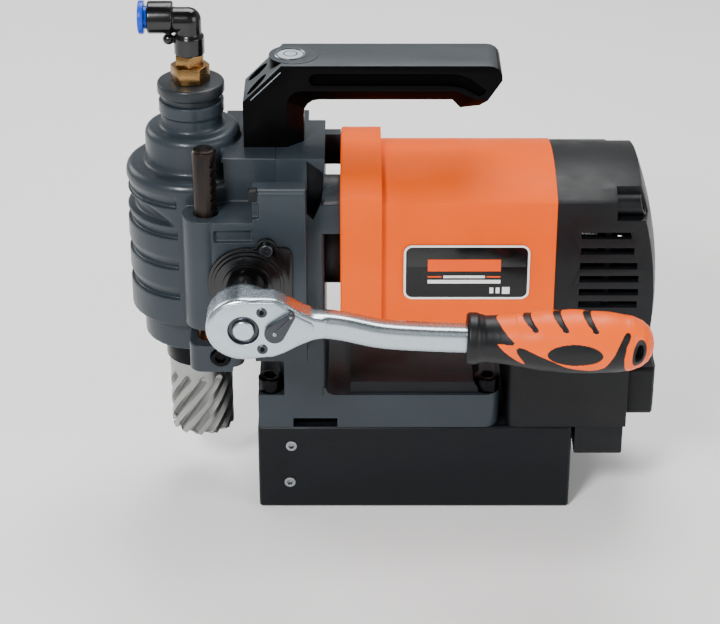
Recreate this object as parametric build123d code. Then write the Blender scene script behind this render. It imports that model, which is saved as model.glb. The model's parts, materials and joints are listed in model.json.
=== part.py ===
from build123d import *
import math
import os

# Magnetic drill press with a horizontal motor, a rack fed quill and a ratchet feed wrench.
# Millimetres. Origin: centre of the magnet's lower face. +X runs from the spindle to the
# motor's rear, +Y is away from the feed wrench, +Z is up.

# ---------------------------------------------------------------- driving dimensions
MAGNET_L, MAGNET_W, MAGNET_H = 170.0, 85.0, 51.5
HALF_W = MAGNET_W / 2
FOOT_TOP = 71.5
SEAM_X, COLUMN_X = -73.0, -48.3
PLATE_Z, TOP_Z = 202.2, 204.8
SPINDLE_X = -117.5
MOTOR_Z = 149.5
HOUSING_Z = 148.0                # centre of the motor housing's section
RUN = 0.05                      # radial clearance of a running fit

BARREL_R, BARREL_Z0, BARREL_Z1 = 35.7, 109.4, 192.0
SKIRT_R, SKIRT_Z0 = 29.3, 92.0
CROWN_R, CROWN_Z1 = 24.9, 211.6
QUILL_R, QUILL_Z0, QUILL_Z1 = 18.9, 93.2, 160.0
NOSE_R, NOSE_Z0 = 18.6, 75.2
CUTTER_R, CUTTER_Z0 = 17.15, 30.7
SHANK_R = 9.525
CAP_Z0, CAP_Z1 = 226.5, 236.0

ROD_X, ROD_Y, ROD_R, ROD_Z0, ROD_Z1 = -108.9, -43.0, 6.2, 94.0, 216.2
PINION_X, PINION_Z = -87.5, 147.0
RACK_M, PINION_TEETH = 1.5, 22
WALL_Y, WALL_X0, WALL_X1 = -56.0, -84.6, -57.3
BOSS_Z0, BOSS_Z1 = 117.7, 180.5
YOKE_Z1 = 109.1

MOTOR_M, MOTOR_TEETH, LAY_TEETH = 1.0, 12, 42
LAY_Z = MOTOR_Z + MOTOR_M * (MOTOR_TEETH + LAY_TEETH) / 2
BEVEL_M, BEVEL_PINION, BEVEL_GEAR = 1.5, 16, 24
BEVEL_FACE = 6.5

FLANGE_X0, FLANGE_X1, BODY_X1 = -40.0, -18.5, 72.0
HEAD_Y0, HEAD_Y1 = -108.0, -88.0
SHAFT_R = 5.0
BOX_X0, BOX_X1, BOX_TOP = 49.2, 113.8, 92.0
PANEL_X = 128.6
RACK_LINE_X = PINION_X - RACK_M * PINION_TEETH / 2
COIL = (128.0, 54.0, 98.0, 24.0)      # outer length and width, inner length and width
FRAME_SCREWS = [(-77.8, -35.2), (-77.8, 35.2), (38.6, -34.5), (38.6, 34.5)]
SIDE_SCREWS = [(-67.0, 39.4), (-68.0, 16.2)]
GROOVES, GROOVE_H, GROOVE_DEPTH = [125.0, 142.7, 160.5, 178.2], 7.2, 2.6
COVER_SCREW, YOKE_SCREW = (-77.6, 167.6), (-102.9, 102.4)
HANDLE_SCREWS = [(-83.5, -8.0), (-83.5, 8.0), (-69.5, -8.0), (-69.5, 8.0)]
LEVEL_X, LEVEL_R, HANDLE_TOP, HANDLE_HALF = -65.6, 8.2, 250.0, 15.5
HANDLE_TOP_EDGE = [(-90, TOP_Z), (-90, 230), (-70, HANDLE_TOP), (36, HANDLE_TOP), (40.5, 248.6), (43, 245.5),
                   (43.2, 242)]
HANDLE_INNER = [(32.2, 225), (22.1, 223.8), (18, 228.2), (-51, 228.2), (-54.1, 227.6), (-56.7, 225.9),
                (-58.4, 223.2), (-58.9, 220), (-58.9, TOP_Z)]
HANDLE_FACE = [(36, 231), (29.5, 231.6), (20, 236.1), (-60, 236.1), (-63.3, 235.3), (-65.8, 233.2),
               (-67.2, 230.3), (-67.6, 227), (-67.6, TOP_Z)]
HANDLE_CORE = 7.5               # half width of the underside between its two slants
ARBOR_SCREW_ANGLES, FLAT_X = (60, 150), 8.6
CUTTER_TEETH, FLUTE_TOP = 12, 65.0
STATOR_R, ROTOR_R, ROTOR_SLOTS = 37.4, 22.5, 12
MOTOR_SCREW_YZ = [(sy * 33.0, HOUSING_Z + sz * 32.5) for sy in (-1, 1) for sz in (-1, 1)]
SCREW_SEAT_X = 102.5            # where the motor screws' heads sit in the rear cap
VENTS = [(17.8, 110.9), (8.9, 112.8), (0.2, 114.8), (-7.4, 115.8), (-15.1, 116.0), (-22.4, 115.8)]
VENT_HALF = 1.9
DOME_X, DOME_Z, DOME_R = 128.6, 126.0, 190.0
SWITCH_Y, SWITCH_Z, ROCKER_X = -19.0, 69.5, 121.6
START_Y, STOP_Y = 3.0, 22.0
GLAND_X, GLAND_Z = 100.0, 72.0
GROMMET_X = 60.0
FIT_X = SPINDLE_X
ARM_Z, ARM_R, CORNER_Z, CORNER_R = 270.5, 8.4, 269.1, 6.6
ARM_X, COLLET_X, COLLET_IN = -138.5, -143.1, -129.5
TUBE_R = 4.05
SHANK_Y = -100.0
SHANK_PATH = [(-66, 147.2), (-52, 147.0), (-38, 145.4), (-23, 141.8), (-7.6, 140.0), (23, 138.6),
              (29.5, 138.4)]
GRIP_X0, GRIP_Z, GRIP_TILT = 23.5, 138.6, 2.0
LEVER_X, LEVER_Z = PINION_X + 15.6, PINION_Z - 0.5
LEVER_R, LEVER_TIP, LEVER_TIP_R = 5.2, (8.1, 9.5), 2.2
WRENCH_SCREWS = [(PINION_X + 9.3, PINION_Z + 10.3), (PINION_X + 9.3, PINION_Z - 10.3)]


# ---------------------------------------------------------------- helpers
def block(x0, x1, y0, y1, z0, z1):
    return Pos((x0 + x1) / 2, (y0 + y1) / 2, (z0 + z1) / 2) * Box(x1 - x0, y1 - y0, z1 - z0)


def zcyl(x, y, r, z0, z1):
    return Pos(x, y, (z0 + z1) / 2) * Cylinder(r, z1 - z0)


def ycyl(x, z, r, y0, y1):
    return Pos(x, (y0 + y1) / 2, z) * Rot(90, 0, 0) * Cylinder(r, y1 - y0)


def xcyl(y, z, r, x0, x1):
    return Pos((x0 + x1) / 2, y, z) * Rot(0, 90, 0) * Cylinder(r, x1 - x0)


def xring(y, z, r_out, r_in, x0, x1):
    return xcyl(y, z, r_out, x0, x1) - xcyl(y, z, r_in, x0 - 1, x1 + 1)


def zring(x, y, r_out, r_in, z0, z1):
    return zcyl(x, y, r_out, z0, z1) - zcyl(x, y, r_in, z0 - 1, z1 + 1)


def along_y(sketch, y_back, depth):
    """Extrudes a sketch drawn in (X, Z) from y_back towards -Y."""
    return extrude(Plane((0, y_back, 0), x_dir=(1, 0, 0), z_dir=(0, -1, 0)) * sketch, depth, dir=(0, -1, 0))


def along_x(sketch, x0, length):
    """Extrudes a sketch drawn in (Y, Z) from x0 towards +X."""
    return extrude(Plane((x0, 0, 0), x_dir=(0, 1, 0), z_dir=(1, 0, 0)) * sketch, length, dir=(1, 0, 0))


def turned(points, place):
    """Revolves an (r, z) outline about its own Z axis and puts it at place."""
    outline = Plane.XZ * Polygon(*points, align=None)
    return place * revolve(outline, axis=Axis.Z)


def solids(*shapes):
    """Identical fasteners and pairs: one node that holds separate solids."""
    return Compound([s for shape in shapes for s in shape.solids()])


def cap_screw(head_r, head_h, shank_r, length, key):
    """Socket head cap screw. Its head's seat is at Z = 0 and the shank points to -Z."""
    screw = zcyl(0, 0, head_r, 0, head_h) + zcyl(0, 0, shank_r, -length, 0.01)
    socket = extrude(RegularPolygon(key / math.sqrt(3), 6), head_h)
    return chamfer(screw.faces().sort_by(Axis.Z)[-1].edges(), 0.5) - Pos(0, 0, head_h * 0.45) * socket


def involute(angle):
    return math.tan(angle) - angle


def tooth_points(module, teeth, play, pressure=25.0, add=0.9, ded=1.2):
    """(radius, half angle) pairs of a tooth's flank, from its root to its tip."""
    pitch_r = module * teeth / 2
    base_r = pitch_r * math.cos(math.radians(pressure))
    half = (math.pi * module / 2 - play) / (2 * pitch_r) + involute(math.radians(pressure))
    root, tip = pitch_r - ded * module, pitch_r + add * module
    flank = []
    for step in range(5):
        r = max(base_r, root) + (tip - max(base_r, root)) * step / 4
        flank.append((r, half - involute(math.acos(min(1.0, base_r / r)))))
    if root < base_r:
        flank.insert(0, (root, flank[0][1]))
    return flank


def gear_outline(module, teeth, play, phase):
    """A spur gear's face, with a tooth centred at the angle phase, in degrees."""
    flank = tooth_points(module, teeth, play)
    points = []
    for tooth in range(teeth):
        centre = math.radians(phase) + 2 * math.pi * tooth / teeth
        for r, half in flank:
            points.append((r * math.cos(centre - half), r * math.sin(centre - half)))
        for r, half in reversed(flank):
            points.append((r * math.cos(centre + half), r * math.sin(centre + half)))
    return Polygon(*points, align=None)


def bevel(teeth, mate, phase, play, bore_r, back):
    """A straight bevel gear about +Z with its apex at the origin."""
    cone = math.atan2(teeth, mate)
    pitch_r = BEVEL_M * teeth / 2
    reach = pitch_r / math.sin(cone)
    small = 1 - BEVEL_FACE / reach
    virtual_r = pitch_r / math.cos(cone)
    flank = tooth_points(BEVEL_M, teeth / math.cos(cone), play)
    root = flank[0][0] - virtual_r

    def place(h):
        return (pitch_r + h * math.cos(cone), reach * math.cos(cone) - h * math.sin(cone))

    r1, z1 = place(root)
    body = turned([(bore_r, z1 * small), (r1 * small, z1 * small), (r1, z1), (r1, back), (bore_r, back)],
                  Pos(0, 0, 0))
    ring = []
    for r, half in [(flank[0][0] - 0.4, flank[0][1])] + flank:
        ring.append((r * math.cos(half) - virtual_r, r * math.sin(half)))
    outline = [(h, -t) for h, t in ring] + [(h, t) for h, t in reversed(ring)]
    large, little = [], []
    for h, t in outline:
        r, z = place(h)
        large.append(Vector(r, t, z))
        little.append(Vector(r, t, z) * small)
    faces = [Face(Wire.make_polygon(ends, close=True)) for ends in (little, large)]
    tooth = loft(faces, ruled=True)
    for index in range(teeth):
        body += Rot(0, 0, phase + 360 * index / teeth) * tooth
    return body


# ---------------------------------------------------------------- magnet base
def racetrack(z0, z1, gap):
    long_out, wide_out, long_in, wide_in = COIL
    outer = RectangleRounded(long_out - gap, wide_out - gap, 12)
    inner = RectangleRounded(long_in + gap, wide_in + gap, 6)
    return Pos(0, 0, z0) * extrude(outer - inner, z1 - z0)


def magnet_block():
    body = block(-MAGNET_L / 2, MAGNET_L / 2, -HALF_W, HALF_W, 0, MAGNET_H)
    body = chamfer(body.edges(), 1.2)
    body -= racetrack(-1, 34, 0)
    for x, y in FRAME_SCREWS:
        body -= zcyl(x, y, 4.0, 36, MAGNET_H + 1)
    for x, z in SIDE_SCREWS:
        body -= ycyl(x, z, 3.0, -HALF_W - 1, -HALF_W + 9)
    return body


def magnet_coil():
    return racetrack(0.3, 34, 0)


def magnet_side_screws():
    screws = []
    for x, z in SIDE_SCREWS:
        screw = ycyl(x, z, 3.0, -HALF_W - 0.3, -HALF_W + 8.9)
        screws.append(screw - along_y(Pos(x, z) * RegularPolygon(1.75, 6), -HALF_W + 2, 4))
    return solids(*screws)


# ---------------------------------------------------------------- frame and head castings
def frame_casting():
    foot = block(-84.3, 45.4, -HALF_W, HALF_W, MAGNET_H, FOOT_TOP)
    foot = fillet(foot.edges().filter_by(Axis.Z).sort_by(Axis.X)[-2:], 9)
    column = block(SEAM_X + 2.8, COLUMN_X, -HALF_W, HALF_W, FOOT_TOP, 187)
    column = fillet(column.edges().filter_by(Axis.Z).sort_by(Axis.X)[-2:], 2.5)
    column += block(SEAM_X, COLUMN_X, -30, 30, FOOT_TOP, PLATE_Z)
    platform = Polygon((-34.8, FOOT_TOP - 1), (-34.8, 78.3), (31, 78.3), (36, FOOT_TOP - 1), align=None)
    body = foot + column + along_y(platform, 40, 80)
    root = Polygon((COLUMN_X - 1, 70), (COLUMN_X + 4.5, 70), (COLUMN_X + 4.5, FOOT_TOP),
                   (COLUMN_X + 1.4, FOOT_TOP + 1.4), (COLUMN_X, FOOT_TOP + 4.5),
                   (COLUMN_X - 1, FOOT_TOP + 4.5), align=None)
    body += along_y(root, HALF_W, MAGNET_W)
    body += block(SEAM_X, -48, -30, 33, PLATE_Z, TOP_Z)
    sleeve = along_x(motor_section(42.5, 44.0, 36.0), COLUMN_X - 3, FLANGE_X0 - COLUMN_X + 3)
    sleeve &= block(COLUMN_X - 3, FLANGE_X0, -HALF_W, -18, 168, 200)
    body += sleeve - xcyl(0, MOTOR_Z, 28.6, COLUMN_X, FLANGE_X0 + 1)
    body += block(COLUMN_X - 3, FLANGE_X0, 23, 30, 177.5, 195)
    body -= block(-65.7, -41.9, -HALF_W - 1, HALF_W + 1, MAGNET_H - 1, 57)
    body -= block(-57, COLUMN_X + 1, 19.6, 34, 198.5, TOP_Z + 1)
    body -= block(-68, -52, -26, 26, 118, PLATE_Z - 2)
    body -= xcyl(0, MOTOR_Z, 16, -53, COLUMN_X + 1)
    body -= xcyl(0, LAY_Z, 8, -53, -49.3)
    body -= xcyl(0, LAY_Z, 9, SEAM_X - 1, -67)
    body -= ycyl(PINION_X, PINION_Z, 18.3, -HALF_W - 1, -35)
    for x, y in FRAME_SCREWS:
        body -= zcyl(x, y, 4.4, MAGNET_H - 1, FOOT_TOP + 1)
        body -= zcyl(x, y, 7.4, FOOT_TOP, FOOT_TOP + 10)
    for x, y in HANDLE_SCREWS[2:]:
        body -= zcyl(x, y, 2.5, 194, TOP_Z + 1)
    return body


def frame_screws():
    screw = cap_screw(6.5, 8.0, 3.9, 34, 6)
    return solids(*[Pos(x, y, FOOT_TOP) * screw for x, y in FRAME_SCREWS])


def eased(r, z, radius):
    """(r, z) points of a rounded outer corner that ends at height z."""
    steps = [math.radians(d) for d in (0, 22, 45, 68, 90)]
    return [(r - radius * (1 - math.cos(a)), z + radius * (math.sin(a) - 1)) for a in steps]


def barrel_outline():
    """(r, z) outline of the barrel, its skirt, crown and neck."""
    outline = [(QUILL_R - 1, SKIRT_Z0), (SKIRT_R, SKIRT_Z0), (SKIRT_R, BARREL_Z0), (BARREL_R, BARREL_Z0)]
    outline += eased(BARREL_R, BARREL_Z1, 4.5)
    outline += [(CROWN_R + 2.4, BARREL_Z1), (CROWN_R + 0.7, BARREL_Z1 + 0.7), (CROWN_R, BARREL_Z1 + 2.4)]
    outline += eased(CROWN_R, CROWN_Z1, 4.0)
    outline += [(18.2, CROWN_Z1), (16.6, CROWN_Z1 + 0.7), (16.0, CROWN_Z1 + 2.4)]
    outline += [(16.0, 218.8), (17.0, 219.6), (17.0, 226.2)]
    outline += [(5, 226.2), (5, SKIRT_Z0)]
    return outline


def barrel_groove(z):
    """A louvre around the barrel's outer side, deepest at its lower edge."""
    wedge = Plane.XZ * Polygon((BARREL_R - GROOVE_DEPTH, z), (BARREL_R + 2, z),
                               (BARREL_R + 2, z + GROOVE_H + 1), (BARREL_R, z + GROOVE_H), align=None)
    return Pos(SPINDLE_X, 0, 0) * Rot(0, 0, 101.5) * revolve(wedge, axis=Axis.Z, revolution_arc=157)


def head_casting():
    body = turned(barrel_outline(), Pos(SPINDLE_X, 0, 0))
    for z in GROOVES:
        body -= barrel_groove(z)
    body += block(-100, SEAM_X, -30, 30, 100, PLATE_Z)
    body += block(-101, SEAM_X, -30, 33, PLATE_Z, TOP_Z)
    wall = block(WALL_X0, WALL_X1, WALL_Y, -HALF_W, 100, 198.7)
    body += fillet(wall.edges().filter_by(Axis.X).sort_by(Axis.Z)[-2:], 3)
    body += block(WALL_X0, SEAM_X, -HALF_W - 1, -29, 100, 186)
    body += block(ROD_X + 4, WALL_X0 + 1, WALL_Y, -25, BOSS_Z0, BOSS_Z1)
    body += zcyl(ROD_X, ROD_Y, 12.4, BOSS_Z0, BOSS_Z1)
    body -= block(-104.3, -84.2, WALL_Y - 1, WALL_Y + 2.4, 169.6, 176.1)
    body -= block(WALL_X0 - 1, WALL_X0 + 3.4, WALL_Y - 1, WALL_Y + 3, 183, 192)
    # inside: gear chamber, bearing seats and the quill's bore
    body -= zcyl(SPINDLE_X, 0, 31, 128, 187)
    body -= zcyl(SPINDLE_X, 0, 20.5, 186, 194)
    body -= zcyl(SPINDLE_X, 0, 17, 193, 210)
    body -= zcyl(SPINDLE_X, 0, 9.6, 209, 228)
    body -= zcyl(SPINDLE_X, 0, QUILL_R + RUN, SKIRT_Z0 - 1, 129)
    body -= xcyl(0, LAY_Z, 11, -88, -79)
    body -= xcyl(0, LAY_Z, 8, -80, SEAM_X + 1)
    # the yoke's slot, open at the bottom
    body -= block(-116.6, -101.4, -60, -8, SKIRT_Z0 - 1, 111)
    body -= block(-121, -89, -60, -32.3, SKIRT_Z0 - 1, 111)
    # feed pinion's chamber and journal, and the rack rod's bore
    body -= ycyl(PINION_X, PINION_Z, 18.3, WALL_Y - 1, -35)
    body -= ycyl(PINION_X, PINION_Z, 6 + RUN, -36, -29)
    body -= zcyl(ROD_X, ROD_Y, ROD_R + RUN, BOSS_Z0 - 1, BOSS_Z1 + 1)
    body -= ycyl(COVER_SCREW[0], COVER_SCREW[1], 2.0, WALL_Y - 1, -47)
    for x, y in HANDLE_SCREWS[:2]:
        body -= zcyl(x, y, 2.5, 194, TOP_Z + 1)
    return body


def spindle_cap():
    cap = turned([(6, CAP_Z0 - 0.3), (15.7, CAP_Z0 - 0.3), (15.7, 229.6), (17.5, 230.2), (17.5, 235.2),
                  (16.7, CAP_Z1), (6, CAP_Z1)], Pos(SPINDLE_X, 0, 0))
    return cap


def pinion_cover():
    face = Pos(PINION_X, PINION_Z) * Circle(20.5)
    face += Pos((PINION_X - 64.6) / 2, 147.9) * RectangleRounded(PINION_X * -1 - 64.6, 39.6, 4)
    face += Pos(*COVER_SCREW) * Circle(5.2)
    plate = along_y(face, WALL_Y, 2.2)
    for r, depth in ((18.8, 1.4), (17.2, 3.0), (12.8, 4.6)):
        plate += along_y(Pos(PINION_X, PINION_Z) * Circle(r), WALL_Y - 2.1, depth)
    plate += along_y(Pos(PINION_X, PINION_Z) * Circle(18.3), WALL_Y + 3, 3.1)
    plate -= ycyl(PINION_X, PINION_Z, 10 + RUN, -66, -50)
    plate -= ycyl(COVER_SCREW[0], COVER_SCREW[1], 2.3, -66, -50)
    return plate


def cover_screw():
    screw = Rot(90, 0, 0) * cap_screw(3.5, 3.8, 1.95, 10, 3)
    return solids(Pos(COVER_SCREW[0], WALL_Y - 2.2, COVER_SCREW[1]) * screw)


# ---------------------------------------------------------------- feed: rack, yoke, quill
def rack_rod():
    rod = zcyl(ROD_X, ROD_Y, ROD_R, ROD_Z0, ROD_Z1)
    rod = chamfer(rod.faces().sort_by(Axis.Z)[-1].edges(), 0.8)
    pitch = math.pi * RACK_M
    slope = math.tan(math.radians(25))
    root_x, tip_x = RACK_LINE_X - 1.2 * RACK_M, ROD_X + ROD_R + 1
    gap = []
    for x in (root_x, tip_x):
        gap.append((x, pitch / 4 + 0.1 + (x - RACK_LINE_X) * slope))
    for step in range(-5, 14):
        z = PINION_Z + step * pitch
        outline = [(gap[0][0], z - gap[0][1]), (gap[1][0], z - gap[1][1]),
                   (gap[1][0], z + gap[1][1]), (gap[0][0], z + gap[0][1])]
        rod -= along_y(Polygon(*outline, align=None), ROD_Y + 8, 16)
    rod -= ycyl(YOKE_SCREW[0], YOKE_SCREW[1], 3.1, -60, -20)
    return rod


def feed_yoke():
    body = block(-119.3, -90.7, WALL_Y, -33, 93.5, YOKE_Z1)
    body = fillet(body.edges().filter_by(Axis.Z).sort_by(Axis.Y)[:2], 7)
    body = fillet(body.edges().filter_by(Axis.Z).sort_by(Axis.Y)[-2:], 4)
    body += block(-116, -102, -40, -10, 93.5, YOKE_Z1)
    body -= block(-96.5, -90, WALL_Y - 1, -30, 93, 96.3)
    body -= zcyl(SPINDLE_X, 0, QUILL_R, 90, 112)
    body -= zcyl(ROD_X, ROD_Y, ROD_R, 90, 112)
    body -= ycyl(YOKE_SCREW[0], YOKE_SCREW[1], 3.1, -60, -30)
    body -= ycyl(YOKE_SCREW[0], YOKE_SCREW[1], 5.2, -60, WALL_Y + 4)
    return body


def yoke_screw():
    screw = Rot(90, 0, 0) * cap_screw(4.95, 5.6, 3.0, 20, 5)
    return solids(Pos(YOKE_SCREW[0], WALL_Y + 4, YOKE_SCREW[1]) * screw)


def quill():
    body = zcyl(SPINDLE_X, 0, QUILL_R, QUILL_Z0, QUILL_Z1)
    body -= zcyl(SPINDLE_X, 0, 11.0, QUILL_Z0 - 1, QUILL_Z1 + 1)
    body -= zcyl(SPINDLE_X, 0, 16.0, QUILL_Z0 - 1, 105.5)
    body -= zcyl(SPINDLE_X, 0, 14.0, 136, QUILL_Z1 + 1)
    return body


def quill_bearings():
    return solids(zring(SPINDLE_X, 0, 16.0, 12.0 + RUN, QUILL_Z0, 105.4),
                  zring(SPINDLE_X, 0, 14.0, 8.0 + RUN, 136.1, 146))


def feed_pinion():
    gear = along_y(Pos(PINION_X, PINION_Z) * gear_outline(RACK_M, PINION_TEETH, 0.25, 180), -36, 16)
    shaft = ycyl(PINION_X, PINION_Z, 10, HEAD_Y1 + 0.4, -45) + ycyl(PINION_X, PINION_Z, 6, -46, -30)
    shaft = chamfer(shaft.faces().sort_by(Axis.Y)[0].edges(), 0.8)
    socket = along_y(Pos(PINION_X, PINION_Z) * Rectangle(12.8, 12.8), -66, 30)
    return gear + shaft - socket


# ---------------------------------------------------------------- spindle and cutter
def spindle():
    body = zcyl(SPINDLE_X, 0, NOSE_R, NOSE_Z0, 92.8)
    body = chamfer(body.edges(), 0.8)
    body += zcyl(SPINDLE_X, 0, 12, 92, 105.3) + zcyl(SPINDLE_X, 0, 10, 105, 135.8)
    body += zcyl(SPINDLE_X, 0, 8, 135, 218)
    body += block(SPINDLE_X + 6, SPINDLE_X + 9.0, -1.5, 1.5, 149, 217)
    body -= zcyl(SPINDLE_X, 0, SHANK_R, NOSE_Z0 - 1, 99)
    body -= zcyl(SPINDLE_X, 0, 4.2, 98, 219)
    for angle in ARBOR_SCREW_ANGLES:
        turn = Pos(SPINDLE_X, 0, 0) * Rot(0, 0, angle)
        body -= turn * xcyl(0, 84, 3.0, 5, 20)
    return body


def arbor_screws():
    screws = []
    for angle in ARBOR_SCREW_ANGLES:
        screw = xcyl(0, 84, 3.0, FLAT_X, 17.8) - along_x(Pos(0, 84) * RegularPolygon(1.7, 6), 15, 5)
        screws.append(Pos(SPINDLE_X, 0, 0) * Rot(0, 0, angle) * screw)
    return solids(*screws)


def cutter_section(turn):
    """Cross-section of the fluted tube: lands between rounded gullets."""
    points = []
    for tooth in range(CUTTER_TEETH):
        start = turn + 360 * tooth / CUTTER_TEETH
        for offset, r in ((0, 14.4), (5, 14.5), (11, 15.8), (15, CUTTER_R), (22, CUTTER_R), (29, CUTTER_R)):
            a = math.radians(start + offset)
            points.append((r * math.cos(a), r * math.sin(a)))
    return Polygon(*points, align=None)


def annular_cutter():
    layers, turn = 8, 11.0
    z0, z1 = CUTTER_Z0, FLUTE_TOP
    sections = []
    for step in range(layers + 1):
        z = z0 + (z1 - z0) * step / layers
        sections.append(Pos(0, 0, z) * cutter_section(turn * step))
    body = loft(sections, ruled=True)
    body += zcyl(0, 0, CUTTER_R, z1, NOSE_Z0 - 0.1) + zcyl(0, 0, SHANK_R, 75, 98)
    body -= zcyl(0, 0, 12.4, z0 - 1, z1 - 4)
    body -= zcyl(0, 0, 3.25, z1 - 5, 99)
    for angle in ARBOR_SCREW_ANGLES:
        body -= Rot(0, 0, angle) * block(FLAT_X, 12, -6, 6, 77, 91)
    return Pos(SPINDLE_X, 0, 0) * body


def pilot_pin():
    pin = zcyl(SPINDLE_X, 0, 3.2, CUTTER_Z0 + 2.4, 130)
    return chamfer(pin.faces().sort_by(Axis.Z)[0].edges(), 1.6)


# ---------------------------------------------------------------- gear train
def drive_sleeve():
    sleeve = zring(0, 0, 10.5, 8 + RUN, 150 - LAY_Z, 209 - LAY_Z)
    sleeve += bevel(BEVEL_GEAR, BEVEL_PINION, 180 / BEVEL_GEAR, 0.45, 9.5, 16.0)
    sleeve -= block(7, 9.5, -1.55, 1.55, 149 - LAY_Z, 210 - LAY_Z)
    return Pos(SPINDLE_X, 0, LAY_Z) * sleeve


def bevel_shaft():
    pinion = bevel(BEVEL_PINION, BEVEL_GEAR, 180, 0.45, 2.0, 22.0)
    shaft = zcyl(0, 0, 7.0, 21.5, 31.5) + zcyl(0, 0, SHAFT_R, 14, 68) + zcyl(0, 0, 2.5, 13.6, 15)
    return Pos(SPINDLE_X, 0, LAY_Z) * Rot(0, 90, 0) * (pinion + shaft)


def layshaft_gear():
    gear = along_x(Pos(0, LAY_Z) * gear_outline(MOTOR_M, LAY_TEETH, 0.2, -90 + 180 / LAY_TEETH), -64.5, 8)
    return gear - xcyl(0, LAY_Z, SHAFT_R, -70, -50)


def gearbox_bearings():
    rings = [zring(SPINDLE_X, 0, 17, 10.5 + RUN, z, z + 6.5) for z in (194.2, 202.5)]
    rings.append(xring(0, LAY_Z, 11, SHAFT_R + RUN, -86, -79.1))
    rings.append(xring(0, LAY_Z, 8, SHAFT_R + RUN, -54.2, -49.4))
    rings.append(xring(0, MOTOR_Z, 13, SHAFT_R + RUN, -47.9, -40.5))
    rings.append(xring(0, MOTOR_Z, 11, SHAFT_R + RUN, 98, 105.1))
    return solids(*rings)


def armature_shaft():
    shaft = xcyl(0, MOTOR_Z, SHAFT_R - 0.5, -66, -54) + xcyl(0, MOTOR_Z, SHAFT_R, -55, 107)
    return shaft + along_x(Pos(0, MOTOR_Z) * gear_outline(MOTOR_M, MOTOR_TEETH, 0.2, 90), -65, 10)


def armature_core():
    core = xring(0, MOTOR_Z, ROTOR_R, SHAFT_R, 0, 45)
    for index in range(ROTOR_SLOTS):
        slot = block(-1, 46, -1.2, 1.2, ROTOR_R - 6, ROTOR_R + 1)
        core -= Pos(0, 0, MOTOR_Z) * Rot(360 * index / ROTOR_SLOTS, 0, 0) * slot
    return core


def commutator():
    return xring(0, MOTOR_Z, 12, SHAFT_R, 52, 66)


def cooling_fan():
    fan = xring(0, MOTOR_Z, 35, SHAFT_R, -30, -28)
    fan += xring(0, MOTOR_Z, 9, SHAFT_R, -30, -18)
    for index in range(9):
        blade = block(-28.5, -19, -0.9, 0.9, 14, 34)
        fan += Pos(0, 0, MOTOR_Z) * Rot(40 * index, 0, 0) * blade
    return fan


# ---------------------------------------------------------------- motor
def motor_section(half_w, half_h, crease):
    """The motor's outline in (Y, Z): flat sides between a shallow arched top and bottom."""
    def arch(sz):
        return ThreePointArc((-half_w, sz * crease), (0, sz * half_h), (half_w, sz * crease))
    sides = [Line((side * half_w, -crease), (side * half_w, crease)) for side in (-1, 1)]
    return Pos(0, HOUSING_Z) * make_face([arch(1), arch(-1)] + sides)


def motor_housing():
    flange = along_x(motor_section(45.5, 49.5, 41.6), FLANGE_X0, FLANGE_X1 - FLANGE_X0)
    flange = fillet(flange.faces().sort_by(Axis.X)[0].edges(), 1.5)
    body = along_x(motor_section(41.0, 45.8, 36.8), FLANGE_X1 - 1, BODY_X1 - FLANGE_X1 + 1)
    hollow = along_x(motor_section(37.5, 42.3, 34.0), FLANGE_X0 + 4, BODY_X1 - FLANGE_X0)
    shell = flange + body - hollow
    for y, z in MOTOR_SCREW_YZ:
        shell += xcyl(y, z, 6.5, 50, BODY_X1) & hollow
        shell -= xcyl(y, z, 2.05, 49, BODY_X1 + 1)
    shell -= xcyl(0, MOTOR_Z, 14, FLANGE_X0 - 1, FLANGE_X0 + 5)
    return shell - zcyl(GROMMET_X, 0, 7, HOUSING_Z - 50, HOUSING_Z - 41)


def dome(shrink):
    """Shallow ball surface, centred on a low axis, that rounds the rear cap's end."""
    def x_at(r):
        return DOME_X - shrink - DOME_R + math.sqrt(DOME_R ** 2 - r ** 2)
    rim = (x_at(85), 85.0)
    outline = make_face([Line((60, 0), (x_at(0), 0)), ThreePointArc((x_at(0), 0), (x_at(45), 45), rim),
                         Line(rim, (60, 85)), Line((60, 85), (60, 0))])
    return Pos(0, 0, DOME_Z) * revolve(Plane.XZ * outline, axis=Axis.X)


def motor_rear_cap():
    outer = along_x(motor_section(40.5, 45.3, 36.4), BODY_X1, 65)
    inner = along_x(motor_section(37.1, 41.9, 33.6), BODY_X1 - 1, 65)
    body = (outer & dome(0)) - (inner & dome(3.2))
    web = along_x(motor_section(38.0, 43.0, 34.5), 98, 3)
    body += (web + xring(0, MOTOR_Z, 15, 11, 97, 107)) & dome(1)
    body -= xcyl(0, MOTOR_Z, 11, 90, 105.2)
    for offset, x1 in VENTS:
        z = HOUSING_Z + offset
        for side in (-1, 1):
            body -= block(85, x1, side * 39 - 3.5, side * 39 + 3.5, z - VENT_HALF, z + VENT_HALF)
    for y, z in MOTOR_SCREW_YZ:
        body += xring(y, z, 6.5, 2.2, BODY_X1, SCREW_SEAT_X) & outer
        body += xcyl(y, z, 6.0, SCREW_SEAT_X - 1, 135) & outer & dome(0.4)
    # open pockets above the vents, each with the tube of a motor screw across it
    for side in (-1, 1):
        y0, y1 = sorted((side * 27.5, side * 46))
        pocket = block(101.5, 117, y0, y1, 173, 191)
        body += pocket & outer & dome(0.4)
        y0, y1 = sorted((side * 29, side * 46))
        body -= block(103, 125, y0, y1, 174.5, 189.5)
        body += xcyl(side * 33, HOUSING_Z + 32.5, 5.3, 102, 125) & outer & dome(0.8)
    for y, z in MOTOR_SCREW_YZ:
        body -= xcyl(y, z, 4.3, SCREW_SEAT_X, 135)
        body -= xcyl(y, z, 2.2, BODY_X1 - 1, SCREW_SEAT_X + 1)
    return body


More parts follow.
